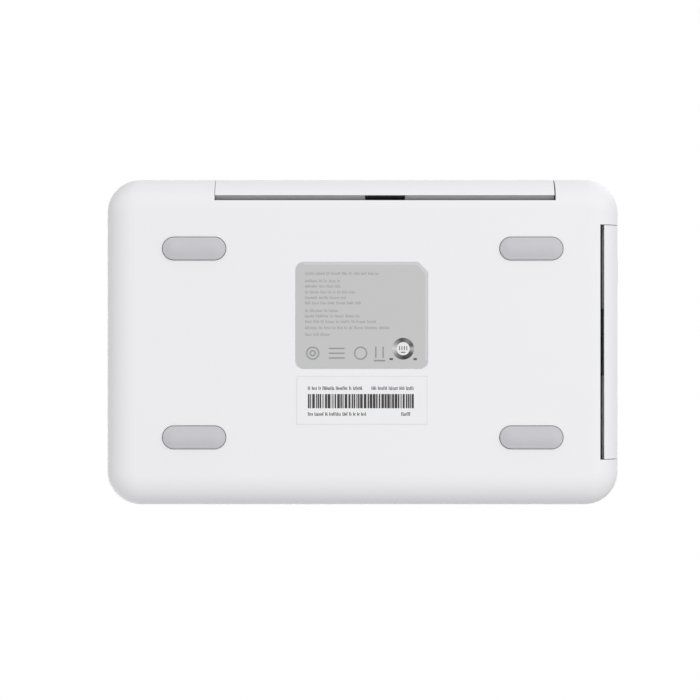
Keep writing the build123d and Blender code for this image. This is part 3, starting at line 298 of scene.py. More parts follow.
# Moulded plastics, rubber, paper and other plain grained finishes.
# The grain's depth is in microns, and mottle gives its amount and its scale.
mouldedFinishes = {
    "caseWhite": dict(
        colour=(241, 241, 243), roughness=0.5, grain=2600, depth=12, mottle=(0.012, 22), specular=0.06,
    ),
    "footGrey": dict(colour=(200, 199, 204), roughness=0.6, grain=1900, depth=30, mottle=(0.05, 240)),
    "plateGrey": dict(colour=(197, 197, 197), roughness=0.38, grain=3200, depth=6, mottle=(0.02, 150)),
    "labelWhite": dict(colour=(240, 240, 242), roughness=0.5, grain=1400, depth=6, mottle=(0.015, 90)),
    "blackNylon": dict(colour=(30, 30, 32), roughness=0.45, grain=1500, depth=20, mottle=(0.12, 120)),
    # black nylon made lighter: painted light on the side hinge bracket in its gap
    "blackNylonPaintedLight": dict(colour=(104, 104, 107), roughness=0.5, grain=1500, depth=20, mottle=(0.1, 120)),
    # dark tape, its tone partly painted shade of the gap round the pads
    "padTapeAndShade": dict(colour=(64, 64, 68), roughness=0.7, grain=1200, depth=10, mottle=(0.08, 200)),
    "gearAcetal": dict(colour=(234, 232, 222), roughness=0.35, grain=1800, depth=8, mottle=(0.03, 80)),
    "rollerRubber": dict(colour=(38, 38, 40), roughness=0.62, grain=1300, depth=40, mottle=(0.15, 200)),
    "boardGreen": dict(colour=(24, 92, 58), roughness=0.3, grain=900, depth=10, mottle=(0.2, 160)),
    "cassetteGrey": dict(colour=(92, 94, 98), roughness=0.42, grain=1700, depth=20, mottle=(0.05, 70)),
    "spoolWhite": dict(colour=(226, 226, 228), roughness=0.4, grain=1700, depth=10, mottle=(0.03, 70)),
    "headCeramic": dict(colour=(214, 208, 194), roughness=0.18, grain=1500, depth=4, mottle=(0.04, 60)),
}


def makeMoulded(name, colour, roughness, grain, depth, mottle, specular=0.5):
    material, tree, shader, group = startGrained(
        name, mouldGrain, Color=light(*colour), Roughness=roughness - grainGloss / 2,
        Grain_Scale=grain, Mottle=mottle[0], Mottle_Scale=mottle[1],
    )
    shader.inputs["Specular IOR Level"].default_value = specular
    addBump(tree, shader, group.outputs["Height"], depth * micron)
    return material


# Hinge barrels of the covers: painted shade makes them greyer than the covers' faces, as they look in their
# shaded gaps
hingeBarrels = {
    "front_door": dict(joint="front_door_hinge", radius=2.7 * mm),
    "side_door": dict(joint="side_door_hinge", radius=1.4 * mm),
}
paintedBarrelShade = {"shade": 0.72, "soft": 0.3 * mm}


# Cover white with painted shade on the hinge barrel, where its gap shades it
def makeCoverWithPaintedShade(name, joint, radius):
    material = makeMoulded(name, **mouldedFinishes["caseWhite"])
    tree = material.node_tree
    face = tree.nodes["Principled BSDF"].inputs["Base Color"]
    plain = face.links[0].from_socket
    hinge = next(entry for entry in frame["record"]["behaviour"]["joints"] if entry["name"] == joint)
    group = addNode(tree, "ShaderNodeGroup", -300, 300, node_tree=barrelShade)
    setInputs(group, Axis_Place=hinge["pos_m"], Across=[1 - abs(share) for share in hinge["axis"]])
    setInputs(group, Radius=radius, Soft=paintedBarrelShade["soft"], Shade=paintedBarrelShade["shade"])
    tree.links.new(plain, group.inputs["Color"])
    tree.links.new(group.outputs["Color"], face)
    return material


# Stretch pulls the scratches along one axis, and the depth is in microns.
metalFinishes = {
    "sheetSteel": dict(colour=(186, 188, 190), roughness=0.34, stretch=(60, 60, 1400), streak=0.2, depth=6),
    "shaftSteel": dict(colour=(200, 201, 204), roughness=0.22, stretch=(1600, 60, 60), streak=0.15, depth=3),
    "screwSteel": dict(colour=(96, 96, 99), roughness=0.38, stretch=(700, 700, 90), streak=0.3, depth=6),
    "motorCan": dict(colour=(176, 178, 180), roughness=0.3, stretch=(50, 900, 900), streak=0.2, depth=5),
    "sinkAluminium": dict(
        colour=(214, 215, 217), roughness=0.4, stretch=(40, 1200, 1200), streak=0.25, depth=8,
    ),
    "springSteel": dict(colour=(190, 190, 194), roughness=0.25, stretch=(900, 900, 900), streak=0.1, depth=3),
}


def makeMetal(name, colour, roughness, stretch, streak, depth):
    material, tree, shader, group = startGrained(
        name, metalGrain, Color=light(*colour), Roughness=roughness, Stretch=stretch, Streak=streak,
    )
    shader.inputs["Metallic"].default_value = 1.0
    addBump(tree, shader, group.outputs["Height"], depth * micron)
    return material


inkFinishes = {
    "plateInk": dict(ink=(142, 144, 143), ground=(196, 196, 196), starved=0.45),
    "markInk": dict(ink=(132, 137, 141), ground=(196, 196, 196), starved=0.3),
    "sealInk": dict(ink=(70, 70, 71), ground=(200, 200, 200), starved=0.15),
    "sealPaper": dict(ink=(236, 236, 237), ground=(212, 212, 212), starved=0.2),
    "labelInk": dict(ink=(36, 29, 28), ground=(225, 222, 222), starved=0.05),
    # painted highlight along the plate's lit edges, made like ink
    "plateHighlightPaint": dict(ink=(210, 210, 210), ground=(198, 198, 198), starved=0.15),
    "stickerEdge": dict(ink=(227, 227, 230), ground=(238, 238, 240), starved=0.3),
    "iconInk": dict(ink=(122, 124, 128), ground=(225, 225, 228), starved=0.15),
}
inkRoughness = {"solid": 0.4, "starved": 0.3}  # what a starved patch adds to the solid ink's


def makeInk(name, ink, ground, starved):
    material, tree, shader = startMaterial(name)
    group = addNode(tree, "ShaderNodeGroup", -600, 0, node_tree=inkCover)
    setInputs(group, Ink=light(*ink), Ground=light(*ground), Starved=starved)
    tree.links.new(group.outputs["Color"], shader.inputs["Base Color"])
    rough = addNode(tree, "ShaderNodeMath", -300, -200, operation="MULTIPLY_ADD")
    rough.inputs[1].default_value = inkRoughness["starved"]
    rough.inputs[2].default_value = inkRoughness["solid"]
    tree.links.new(group.outputs["Mask"], rough.inputs[0])
    tree.links.new(rough.outputs[0], shader.inputs["Roughness"])
    return material


# Dye film: one dye panel follows another along the ribbon.
dyePanels = {
    "first": (206, 176, 40),
    "second": (170, 44, 92),
    "scale": 9.0,                      # from metres along the film to shares of it
    "start": 0.55,
    "change": 0.42,                    # the share where the second panel starts
    "roughness": 0.16,
}


def makeFilm():
    spec = dyePanels
    material, tree, shader = startMaterial("dyeFilm")
    place = addNode(tree, "ShaderNodeTexCoord", -1100, 0)
    split = addNode(tree, "ShaderNodeSeparateXYZ", -900, 0)
    tree.links.new(place.outputs["Object"], split.inputs[0])
    panel = addNode(tree, "ShaderNodeMath", -700, 0, operation="MULTIPLY_ADD")
    panel.inputs[1].default_value = spec["scale"]
    panel.inputs[2].default_value = spec["start"]
    tree.links.new(split.outputs["Y"], panel.inputs[0])
    ramp = addNode(tree, "ShaderNodeValToRGB", -500, 0)
    ramp.color_ramp.interpolation = "CONSTANT"
    ramp.color_ramp.elements[0].color = light(*spec["first"])
    ramp.color_ramp.elements[1].color = light(*spec["second"])
    ramp.color_ramp.elements[1].position = spec["change"]
    tree.links.new(panel.outputs[0], ramp.inputs[0])
    tree.links.new(ramp.outputs["Color"], shader.inputs["Base Color"])
    setInputs(shader, Roughness=spec["roughness"])
    return material


# Seal foil: painted reflections, fans of light and dark that turn round the seal's middle.
sealFoilPaintedReflection = {
    # each fan's place in the turn, and its grey
    "fans": (
        (0.0, 212), (0.11, 146), (0.22, 66), (0.34, 130), (0.44, 78),
        (0.5, 186), (0.58, 80), (0.74, 52), (0.88, 128), (1.0, 212),
    ),
    "sheen": 0.3,
    "roughness": 0.3,
}


def makeFoilPaintedReflection(centre):
    material, tree, shader = startMaterial("sealFoilPaintedReflection")
    link = tree.links.new
    place = addNode(tree, "ShaderNodeTexCoord", -1300, 0)
    shift = addNode(tree, "ShaderNodeVectorMath", -1100, 0, operation="SUBTRACT")
    link(place.outputs["Object"], shift.inputs[0])
    shift.inputs[1].default_value = (centre[0], centre[1], 0)
    fan = addNode(tree, "ShaderNodeTexGradient", -900, 0, gradient_type="RADIAL")
    link(shift.outputs[0], fan.inputs["Vector"])
    # the ramp paints the foil's reflections as fans of grey
    ramp = addNode(tree, "ShaderNodeValToRGB", -650, 0)
    stops = ramp.color_ramp.elements
    while len(stops) < len(sealFoilPaintedReflection["fans"]):
        stops.new(0.5)
    for stop, (position, grey) in zip(stops, sealFoilPaintedReflection["fans"]):
        stop.position = position
        stop.color = light(grey, grey, grey)
    link(fan.outputs["Fac"], ramp.inputs[0])
    link(ramp.outputs["Color"], shader.inputs["Base Color"])
    setInputs(shader, Metallic=sealFoilPaintedReflection["sheen"], Roughness=sealFoilPaintedReflection["roughness"])
    return material


# Milky light guide round the power button, with a faint painted glow
lightGuide = {
    "colour": (214, 222, 230),
    "roughness": 0.26,
    "grain": 1200.0,
    "mottle": (0.03, 300.0),
    "paintedGlow": 0.06,
}


def makeRing():
    spec = lightGuide
    material, tree, shader, group = startGrained(
        "milkyGuide", mouldGrain, Color=light(*spec["colour"]), Roughness=spec["roughness"],
        Grain_Scale=spec["grain"], Mottle=spec["mottle"][0], Mottle_Scale=spec["mottle"][1],
    )
    # painted glow: the guide emits its own colour faintly
    tree.links.new(group.outputs["Color"], shader.inputs["Emission Color"])
    shader.inputs["Emission Strength"].default_value = spec["paintedGlow"]
    return material


materials = {name: makeMoulded(name, **finish) for name, finish in mouldedFinishes.items()}
materials.update({name: makeMetal(name, **finish) for name, finish in metalFinishes.items()})
materials.update({name: makeInk(name, **finish) for name, finish in inkFinishes.items()})
materials.update({name: makeCoverWithPaintedShade(name, **barrel) for name, barrel in hingeBarrels.items()})
materials["dyeFilm"] = makeFilm()
materials["milkyGuide"] = makeRing()

slotMaterials = {
    "case_white": "caseWhite",
    "foot_grey": "footGrey",
    "plate_grey": "plateGrey",
    "label_white": "labelWhite",
    "sheet_steel": "sheetSteel",
    "shaft_steel": "shaftSteel",
    "screw_steel": "screwSteel",
    "black_plastic": "blackNylon",
    "gear_white": "gearAcetal",
    "roller_rubber": "rollerRubber",
    "board_green": "boardGreen",
    "motor_can": "motorCan",
    "sink_aluminium": "sinkAluminium",
    "head_ceramic": "headCeramic",
    "cassette_grey": "cassetteGrey",
    "spool_white": "spoolWhite",
    "film_dye": "dyeFilm",
    "spring_steel": "springSteel",
    "ring_clear": "milkyGuide",
}


def dress(piece, materialName):
    piece.data.materials.clear()
    piece.data.materials.append(materials[materialName])


for part in frame["record"]["subparts"]:
    dress(frame["nodes"][part["node"]], slotMaterials[part["material_slot"]])
# the side hinge bracket gets the lighter copy of the black nylon, which is painted light
dress(frame["nodes"]["side_hinge_bracket"], "blackNylonPaintedLight")
# the covers get the white with painted shade on their hinge barrels
for cover in hingeBarrels:
    dress(frame["nodes"][cover], cover)
print("materials made:", len(materials))


# Mesh helpers
def pieceFromMesh(name, mesh, body, materialName):
    piece = bpy.data.objects.new(name, mesh)
    bpy.context.scene.collection.objects.link(piece)
    dress(piece, materialName)
    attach(piece, body)
    return piece


# Joins rings of the same count of points, each to the next one.
def addWalls(mesh, rings):
    for one, two in zip(rings, rings[1:]):
        for index in range(len(one)):
            after = (index + 1) % len(one)
            mesh.faces.new((one[index], one[after], two[after], two[index]))


# Adds a closed slab with the given outline between two heights.
def addSlab(mesh, outline, low, high):
    bottom = [mesh.verts.new((x, y, low)) for x, y in outline]
    top = [mesh.verts.new((x, y, high)) for x, y in outline]
    mesh.faces.new(bottom[::-1])
    mesh.faces.new(top)
    addWalls(mesh, [bottom, top])


def addBar(mesh, left, right, front, rear, low, high):
    addSlab(mesh, [(left, front), (right, front), (right, rear), (left, rear)], low, high)


def circle(centre, radius, steps):
    turns = [2 * math.pi * step / steps for step in range(steps)]
    return [(centre[0] + radius * math.cos(turn), centre[1] + radius * math.sin(turn)) for turn in turns]


def addRing(mesh, centre, outer, inner, low, high, steps=48):
    rings = []
    for radius, height in ((outer, low), (outer, high), (inner, high), (inner, low)):
        rings.append([mesh.verts.new((x, y, height)) for x, y in circle(centre, radius, steps)])
    addWalls(mesh, rings + rings[:1])


# A bar with rounded ends or corners
def barOutline(left, right, front, rear, radius, steps=4):
    points = []
    radius = min(radius, (right - left) / 2, (rear - front) / 2)
    for cx, cy, start in (
        (right - radius, rear - radius, 0), (left + radius, rear - radius, 90),
        (left + radius, front + radius, 180), (right - radius, front + radius, 270),
    ):
        for step in range(steps + 1):
            angle = math.radians(start + 90 * step / steps)
            points.append((cx + radius * math.cos(angle), cy + radius * math.sin(angle)))
    return points


def finishMesh(name, mesh):
    bmesh.ops.recalc_face_normals(mesh, faces=mesh.faces)
    data = bpy.data.meshes.new(name)
    mesh.to_mesh(data)
    mesh.free()
    return data


# Smooths the sides of a swept form and leaves its two caps flat.
def smoothSides(data):
    for face in data.polygons:
        face.use_smooth = len(face.vertices) == 4


# Print on the rating plate and on the serial label. Rows of plain bars stand for text.
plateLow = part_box("rating_plate")[0]
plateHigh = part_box("rating_plate")[1]
plateMiddle = (plateLow + plateHigh) / 2
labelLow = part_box("serial_label")[0]
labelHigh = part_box("serial_label")[1]
labelMiddle = (labelLow + labelHigh) / 2

ratingPrint = {
    "left": -21.3 * mm,                # from the plate's middle
    "ink": 0.012 * mm,
    # each row's distance behind the plate's middle, and its length
    "rows": ((-15.8, 27.8), (-13.0, 13.5), (-11.0, 13.3), (-8.8, 19.0), (-6.7, 15.8), (-4.7, 21.0),
             (-1.8, 12.4), (0.2, 20.5), (2.3, 27.8), (4.6, 31.6), (7.1, 10.4)),
    "style": dict(height=1.05, pitch=0.44, stroke=0.19, words=(3, 5, 6, 8, 11), gap=0.5),
    "seed": 11,
}

wordShape = {
    "tallChance": 0.3,                 # of a stroke that isn't the first of its word
    "shortReach": 0.5,                 # share of half the height, in front of the row's middle
    "tieChance": 0.7,
    "tiePlace": 0.1,                   # share of half the height, behind the row's middle
    "tieWidth": 0.8,                   # share of the stroke
    "tieEnd": 0.9,                     # share of the pitch
}


# Upright strokes with short ties between them, which read as a row of small print from afar.
def addWords(mesh, left, middleY, length, low, high, style, shuffle):
    spec = wordShape
    pitch = style["pitch"] * mm
    stroke = style["stroke"] * mm
    half = style["height"] / 2 * mm
    tie = spec["tieWidth"] * stroke
    rear = middleY + half
    x = left
    while x < left + length - 2 * pitch:
        for index in range(shuffle.choice(style["words"])):
            if x + stroke > left + length:
                break
            tall = index == 0 or shuffle.random() < spec["tallChance"]
            front = middleY - (half if tall else spec["shortReach"] * half)
            addBar(mesh, x, x + stroke, front, rear, low, high)
            if shuffle.random() < spec["tieChance"]:
                y = shuffle.choice((front, middleY + spec["tiePlace"] * half, rear - tie))
                addBar(mesh, x + stroke, x + pitch * spec["tieEnd"], y, y + tie, low, high)
            x += pitch
        x += style["gap"] * mm


def makeRatingPrint():
    spec = ratingPrint
    shuffle = random.Random(spec["seed"])
    mesh = bmesh.new()
    high = plateLow.z
    left = plateMiddle.x + spec["left"]
    for behind, length in spec["rows"]:
        y = plateMiddle.y + behind * mm
        addWords(mesh, left, y, length * mm, high - spec["ink"], high, spec["style"], shuffle)
    pieceFromMesh("ratingText", finishMesh("ratingText", mesh), "case", "plateInk")


# Painted highlight: a paler line along the plate's front, its bevel and its right side, the edges that face
# the light
plateHighlightLine = {
    "width": 0.75 * mm,
    "bevel": 3.7 * mm,
    "bevelAngle": 45,
    "corner": 2.9 * mm,
    "rise": 0.006 * mm,
}


def makePlateHighlightLine():
    spec = plateHighlightLine
    width = spec["width"]
    lean = width * math.tan(math.radians(spec["bevelAngle"] / 2))
    outer = [
        (plateLow.x + spec["corner"], plateLow.y), (plateHigh.x - spec["bevel"], plateLow.y),
        (plateHigh.x, plateLow.y + spec["bevel"]), (plateHigh.x, plateHigh.y - spec["corner"]),
    ]
    inner = [
        (outer[0][0], outer[0][1] + width), (outer[1][0] - lean, outer[1][1] + width),
        (outer[2][0] - width, outer[2][1] + lean), (outer[3][0] - width, outer[3][1]),
    ]
    mesh = bmesh.new()
    addSlab(mesh, outer + inner[::-1], plateLow.z - spec["rise"], plateLow.z)
    pieceFromMesh("plateHighlightLine", finishMesh("plateHighlightLine", mesh), "case", "plateHighlightPaint")


# Plain marks in the row where a plate carries its approval signs
markRow = {
    "behind": 14.2 * mm,               # from the plate's middle
    "size": 5.0 * mm,
    "line": 0.5 * mm,
    # from the plate's middle: two rings, three rows, one ring, and two posts on a foot
    "rings": -18.4 * mm,
    "rows": -9.4 * mm,
    "ring": -0.4 * mm,
    "posts": 6.7 * mm,
    # shares of half the size
    "innerRing": 0.48,
    "rowHalf": 1.2,
    "postPlace": 0.55,
    "postRear": 0.7,
    "footHalf": 0.85,
    # shares of the line
    "rowStep": 3.6,
    "footDepth": 1.2,
}


def makeMarks():
    spec = markRow
    low = plateLow.z - ratingPrint["ink"]
    high = plateLow.z
    half = spec["size"] / 2
    line = spec["line"]
    y = plateMiddle.y + spec["behind"]
    rings = plateMiddle.x + spec["rings"]
    rows = plateMiddle.x + spec["rows"]
    ring = plateMiddle.x + spec["ring"]
    posts = plateMiddle.x + spec["posts"]
    mesh = bmesh.new()
    for radius in (half, half * spec["innerRing"]):
        addRing(mesh, (rings, y), radius, radius - line, low, high)
    addRing(mesh, (ring, y), half, half - line, low, high)
    reach = half * spec["rowHalf"]
    for side in (-1, 0, 1):
        middle = y + side * line * spec["rowStep"]
        addBar(mesh, rows - reach, rows + reach, middle - line / 2, middle + line / 2, low, high)
    for side in (-1, 1):
        middle = posts + side * half * spec["postPlace"]
        addBar(mesh, middle - line / 2, middle + line / 2, y - half, y + half * spec["postRear"], low, high)
    reach = half * spec["footHalf"]
    addBar(mesh, posts - reach, posts + reach, y + half, y + half + spec["footDepth"] * line, low, high)
    pieceFromMesh("ratingMarks", finishMesh("ratingMarks", mesh), "case", "markInk")


# Plain seal on the plate: a foil ring round a paper disc with strokes, and a short bar on either side
seal = {
    "place": (15.6 * mm, 12.5 * mm),   # from the plate's middle
    "radius": 4.1 * mm,
    "inner": 2.5 * mm,
    "clear": 0.05 * mm,                # between the ring and the disc
    "ringSteps": 64,
    "discSteps": 48,
    # from the seal's middle: place, front end, rear end, width
    "strokes": ((-1.35, -0.95, 0.55, 0.34), (-0.45, -0.95, 0.55, 0.34), (0.45, -0.95, 0.55, 0.34),
                (1.35, -0.95, 0.55, 0.34), (0.0, 1.15, 1.55, 1.7)),
    "inkRise": 0.005 * mm,
    "sideStep": 4.5 * mm,
    "sideBehind": 3.9 * mm,
    "sideHalf": (0.65 * mm, 0.4 * mm),
}


def makeSeal():
    spec = seal
    low = plateLow.z - ratingPrint["ink"]
    high = plateLow.z
    centre = (plateMiddle.x + spec["place"][0], plateMiddle.y + spec["place"][1])
    materials["sealFoilPaintedReflection"] = makeFoilPaintedReflection(centre)
    mesh = bmesh.new()
    addRing(mesh, centre, spec["radius"], spec["inner"], low, high, spec["ringSteps"])
    pieceFromMesh("sealRing", finishMesh("sealRing", mesh), "case", "sealFoilPaintedReflection")
    mesh = bmesh.new()
    addSlab(mesh, circle(centre, spec["inner"] - spec["clear"], spec["discSteps"]), low, high)
    pieceFromMesh("sealDisc", finishMesh("sealDisc", mesh), "case", "sealPaper")
    mesh = bmesh.new()
    for x, front, rear, width in spec["strokes"]:
        left = centre[0] + (x - width / 2) * mm
        near = centre[1] + front * mm
        addBar(mesh, left, left + width * mm, near, centre[1] + rear * mm, low - spec["inkRise"], low)
    halfX, halfY = spec["sideHalf"]
    y = centre[1] + spec["sideBehind"]
    for side in (-1, 1):
        middle = centre[0] + side * spec["sideStep"]
        addBar(mesh, middle - halfX, middle + halfX, y - halfY, y + halfY, low, high)
    pieceFromMesh("sealStrokes", finishMesh("sealStrokes", mesh), "case", "sealInk")


serialPrint = {
    "ink": 0.015 * mm,
    # all from the label's middle, in millimetres
    "bars": dict(left=-20.3, right=19.7, front=-2.35, rear=3.0),
    "module": 0.2,
    "barWidths": (1, 2, 2, 3, 3, 4, 5),
    "gapWidths": (1, 1, 1, 2, 2),
    "textRows": ((-4.55, -20.3, 20.6), (-4.55, 3.6, 16.0), (5.15, -20.3, 22.0), (5.15, 14.8, 4.8)),
    "style": dict(height=1.3, pitch=0.5, stroke=0.26, words=(2, 4, 7, 9), gap=0.5),
    "rim": 0.3,                        # width of the darker line along the sticker's edge
    "seed": 29,
}


def makeSerialPrint():
    spec = serialPrint
    shuffle = random.Random(spec["seed"])
    mesh = bmesh.new()
    high = labelLow.z
    low = high - spec["ink"]
    bars = spec["bars"]
    front = labelMiddle.y + bars["front"] * mm
    rear = labelMiddle.y + bars["rear"] * mm
    x = bars["left"]
    while x < bars["right"] - spec["module"]:
        width = min(spec["module"] * shuffle.choice(spec["barWidths"]), bars["right"] - x)
        left = labelMiddle.x + x * mm
        addBar(mesh, left, left + width * mm, front, rear, low, high)
        x += width + spec["module"] * shuffle.choice(spec["gapWidths"])
    pieceFromMesh("serialBars", finishMesh("serialBars", mesh), "case", "labelInk")
    mesh = bmesh.new()
    for y, left, length in spec["textRows"]:
        start = labelMiddle.x + left * mm
        addWords(mesh, start, labelMiddle.y + y * mm, length * mm, low, high, spec["style"], shuffle)
    pieceFromMesh("serialText", finishMesh("serialText", mesh), "case", "labelInk")


# Faint darker line along the sticker's edge
def makeStickerEdge():
    rim = serialPrint["rim"] * mm
    high = labelLow.z
    low = high - serialPrint["ink"]
    mesh = bmesh.new()
    for left, right in ((labelLow.x, labelLow.x + rim), (labelHigh.x - rim, labelHigh.x)):
        addBar(mesh, left, right, labelLow.y, labelHigh.y, low, high)
    for front, rear in ((labelLow.y, labelLow.y + rim), (labelHigh.y - rim, labelHigh.y)):
        addBar(mesh, labelLow.x + rim, labelHigh.x - rim, front, rear, low, high)
    pieceFromMesh("stickerEdge", finishMesh("stickerEdge", mesh), "case", "stickerEdge")


makeRatingPrint()
makePlateHighlightLine()
makeMarks()
makeSeal()
makeSerialPrint()
makeStickerEdge()
print("plate and label printed")


bottomFace = 2.0 * mm                  # height of the bottom cover's face over the pads' ends

# Crowned pads in place of the plain ones
footPad = {
    "crown": 1.0 * mm,
    "edge": 0.9 * mm,
    "tip": 0.02 * mm,                  # half width of the level strip in the middle
    "rings": 10,                       # over the crown
    "edgeRings": 6,
    "steps": 24,                       # round each end
    "sharpAngle": 50,
    "tapeProud": 0.12 * mm,            # how far the tape under the pad shows past its side
    "tapeDepth": (0.12 * mm, 0.42 * mm),  # from the bottom face up
    "tapeSteps": 16,
}


def makePad(node):
    spec = footPad
    low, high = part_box(node)
    middle = (low + high) / 2
    halfLength = (high.x - low.x) / 2
    halfWidth = (high.y - low.y) / 2
    straight = halfLength - halfWidth

    # the outline, drawn in by a distance, at a height
    def ring(mesh, inset, z):
        radius = halfWidth - inset
        points = []
        for side, start in ((1, -90), (-1, 90)):
            for step in range(spec["steps"] + 1):
                angle = math.radians(start + 180 * step / spec["steps"])
                x = middle.x + side * straight + radius * math.cos(angle)
                points.append(mesh.verts.new((x, middle.y + radius * math.sin(angle), z)))
        return points

    mesh = bmesh.new()
    rings = [ring(mesh, 0, high.z), ring(mesh, 0, low.z + spec["crown"] + spec["edge"])]
    for step in range(1, spec["edgeRings"] + 1):
        angle = math.radians(90 * step / spec["edgeRings"])
        inset = spec["edge"] * (1 - math.cos(angle))
        rings.append(ring(mesh, inset, low.z + spec["crown"] + spec["edge"] * (1 - math.sin(angle))))
    reach = halfWidth - spec["edge"]
    for step in range(1, spec["rings"]):
        share = step / spec["rings"]
        rings.append(ring(mesh, spec["edge"] + reach * share, low.z + spec["crown"] * (1 - share) ** 2))
    addWalls(mesh, rings)
    mesh.faces.new(rings[0])
    last = ring(mesh, halfWidth - spec["tip"], low.z)
    addWalls(mesh, [rings[-1], last])
    mesh.faces.new(last)
    data = finishMesh("pad_" + node, mesh)
    for face in data.polygons:
        face.use_smooth = True
    piece = pieceFromMesh("pad_" + node, data, "case", "footGrey")
    piece.data.set_sharp_from_angle(angle=math.radians(spec["sharpAngle"]))
    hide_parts(node)


# Foam tape that holds the pad in its seat; its dark edge is the thin line round the pad, and its tone is
# partly painted shade of the gap round the pad.
def makePadTapeAndShade(node):
    spec = footPad
    low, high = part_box(node)
    radius = (high.y - low.y) / 2
    proud = spec["tapeProud"]
    lower, upper = [bottomFace + depth for depth in spec["tapeDepth"]]
    mesh = bmesh.new()
    rings = []
    for out, z in ((proud, upper), (proud, lower), (0, lower), (0, upper)):
        outline = barOutline(
            low.x - out, high.x + out, low.y - out, high.y + out, radius + out, spec["tapeSteps"],
        )
        rings.append([mesh.verts.new((x, y, z)) for x, y in outline])
    addWalls(mesh, rings + rings[:1])
    pieceFromMesh("padTapeAndShade_" + node, finishMesh("padTapeAndShade_" + node, mesh), "case", "padTapeAndShade")


for name in ("foot_front_left", "foot_front_right", "foot_rear_left", "foot_rear_right"):
    makePad(name)
    makePadTapeAndShade(name)
print("pads made")


# Head springs: coiled springs that take the place of the stiff ones.
headSpring = {
    "wire": 0.3 * mm,
    "turns": 4,
    "steps": 28,                       # for each turn
    "sides": 8,
    "lift": math.radians(7),           # the head's full lift, about the rear edge of its arm
    "clear": 0.5 * mm,                 # left under the spring for the arm's slope
}


def makeHeadSprings():
    spec = headSpring
    low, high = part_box("head_springs")
    wire = spec["wire"]
    middleY = (low.y + high.y) / 2
    radius = (high.y - low.y) / 2 - wire
    height = high.z - low.z - 2 * wire
    count = spec["turns"] * spec["steps"]
    climb = height / (2 * math.pi * spec["turns"])
    turns = [2 * math.pi * side / spec["sides"] for side in range(spec["sides"])]
    mesh = bmesh.new()
    for middleX in (low.x + radius + wire, high.x - radius - wire):
        rings = []
        for step in range(count + 1):
            angle = 2 * math.pi * step / spec["steps"]
            outward = Vector((math.cos(angle), math.sin(angle), 0))
            along = Vector((-math.sin(angle) * radius, math.cos(angle) * radius, climb))
            upward = outward.cross(along).normalized()
            z = low.z + wire + height * step / count
            centre = Vector((middleX, middleY, z)) + outward * radius
            sides = [outward * math.cos(turn) + upward * math.sin(turn) for turn in turns]
            rings.append([mesh.verts.new(centre + side * wire) for side in sides])
        addWalls(mesh, rings)
        mesh.faces.new(rings[0])
        mesh.faces.new(rings[-1])
    data = finishMesh("headSprings", mesh)
    smoothSides(data)
    piece = pieceFromMesh("headSprings", data, "case", "springSteel")
    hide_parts("head_springs")
    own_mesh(piece)


makeHeadSprings()


# Power sign on the button: an open ring and a stroke
powerSign = {
    "radius": 2.1 * mm,
    "line": 0.42 * mm,
    "opening": 34,                     # degrees, on either side of the stroke
    "stroke": (0.5 * mm, 2.7 * mm),    # its ends, from the button's middle
    "proud": 0.02 * mm,
    "steps": 40,
}


def makePowerSign():
    spec = powerSign
    low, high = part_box("power_button")
    centre = ((low.x + high.x) / 2, (low.y + high.y) / 2)
    half = spec["line"] / 2
    rims = []
    for radius in (spec["radius"] + half, spec["radius"] - half):
        rim = []
        for step in range(spec["steps"] + 1):
            turn = (360 - 2 * spec["opening"]) * step / spec["steps"]
            angle = math.radians(90 + spec["opening"] + turn)
            rim.append((centre[0] + radius * math.cos(angle), centre[1] + radius * math.sin(angle)))
        rims.append(rim)
    outer, inner = rims
    near, far = [centre[1] + end for end in spec["stroke"]]
    mesh = bmesh.new()
    for outline in (outer + inner[::-1], barOutline(centre[0] - half, centre[0] + half, near, far, half)):
        addSlab(mesh, outline, high.z, high.z + spec["proud"])
    pieceFromMesh("powerSign", finishMesh("powerSign", mesh), "power_button", "iconInk")


makePowerSign()


# Low finger ridge on the outside of the side cover
sideGrip = {
    "middle": (-26.5 * mm, 17.5 * mm),  # across the cover, and up
    "half": (6.2 * mm, 4.5 * mm),
    "corner": 0.8,                     # share of its half height
    "shoulder": 0.7,                   # share of the corner's radius
    "proud": 0.4 * mm,
    "root": 0.15 * mm,                 # how deep it starts in the cover
    "rings": 8,
    "steps": 12,                       # round each corner
}


# The ridge swells from a rounded outline to its full height in a quarter turn.
def makeSideGrip():
    spec = sideGrip
    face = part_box("side_door")[1].x
    middleY, middleZ = spec["middle"]
    halfY, halfZ = spec["half"]
    corner = halfZ * spec["corner"]
    mesh = bmesh.new()

    def ring(inset, x):
        y = halfY - inset
        z = halfZ - inset
        points = barOutline(-y, y, -z, z, corner - inset, spec["steps"])
        return [mesh.verts.new((x, middleY + across, middleZ + up)) for across, up in points]

    rings = [ring(0, face - spec["root"])]
    for step in range(spec["rings"] + 1):
        angle = math.radians(90 * step / spec["rings"])
        inset = corner * spec["shoulder"] * (1 - math.cos(angle))
        rings.append(ring(inset, face + spec["proud"] * math.sin(angle)))
    addWalls(mesh, rings)
    mesh.faces.new(rings[0])
    mesh.faces.new(rings[-1])
    data = finishMesh("sideGrip", mesh)
    smoothSides(data)
    pieceFromMesh("sideGrip", data, "side_door", "caseWhite")


makeSideGrip()
print("springs, power sign and finger ridge made")


# Camera under the object, looking straight up, front at the top of the picture
viewSpec = {
    "distance": 900 * mm,              # from the bottom face
    "aim": (-4.79 * mm, 2.99 * mm),
    "widthSeen": 263.16 * mm,          # across the picture, at the bottom face
    "sensor": 36,
    "clip": (0.01, 20),
}


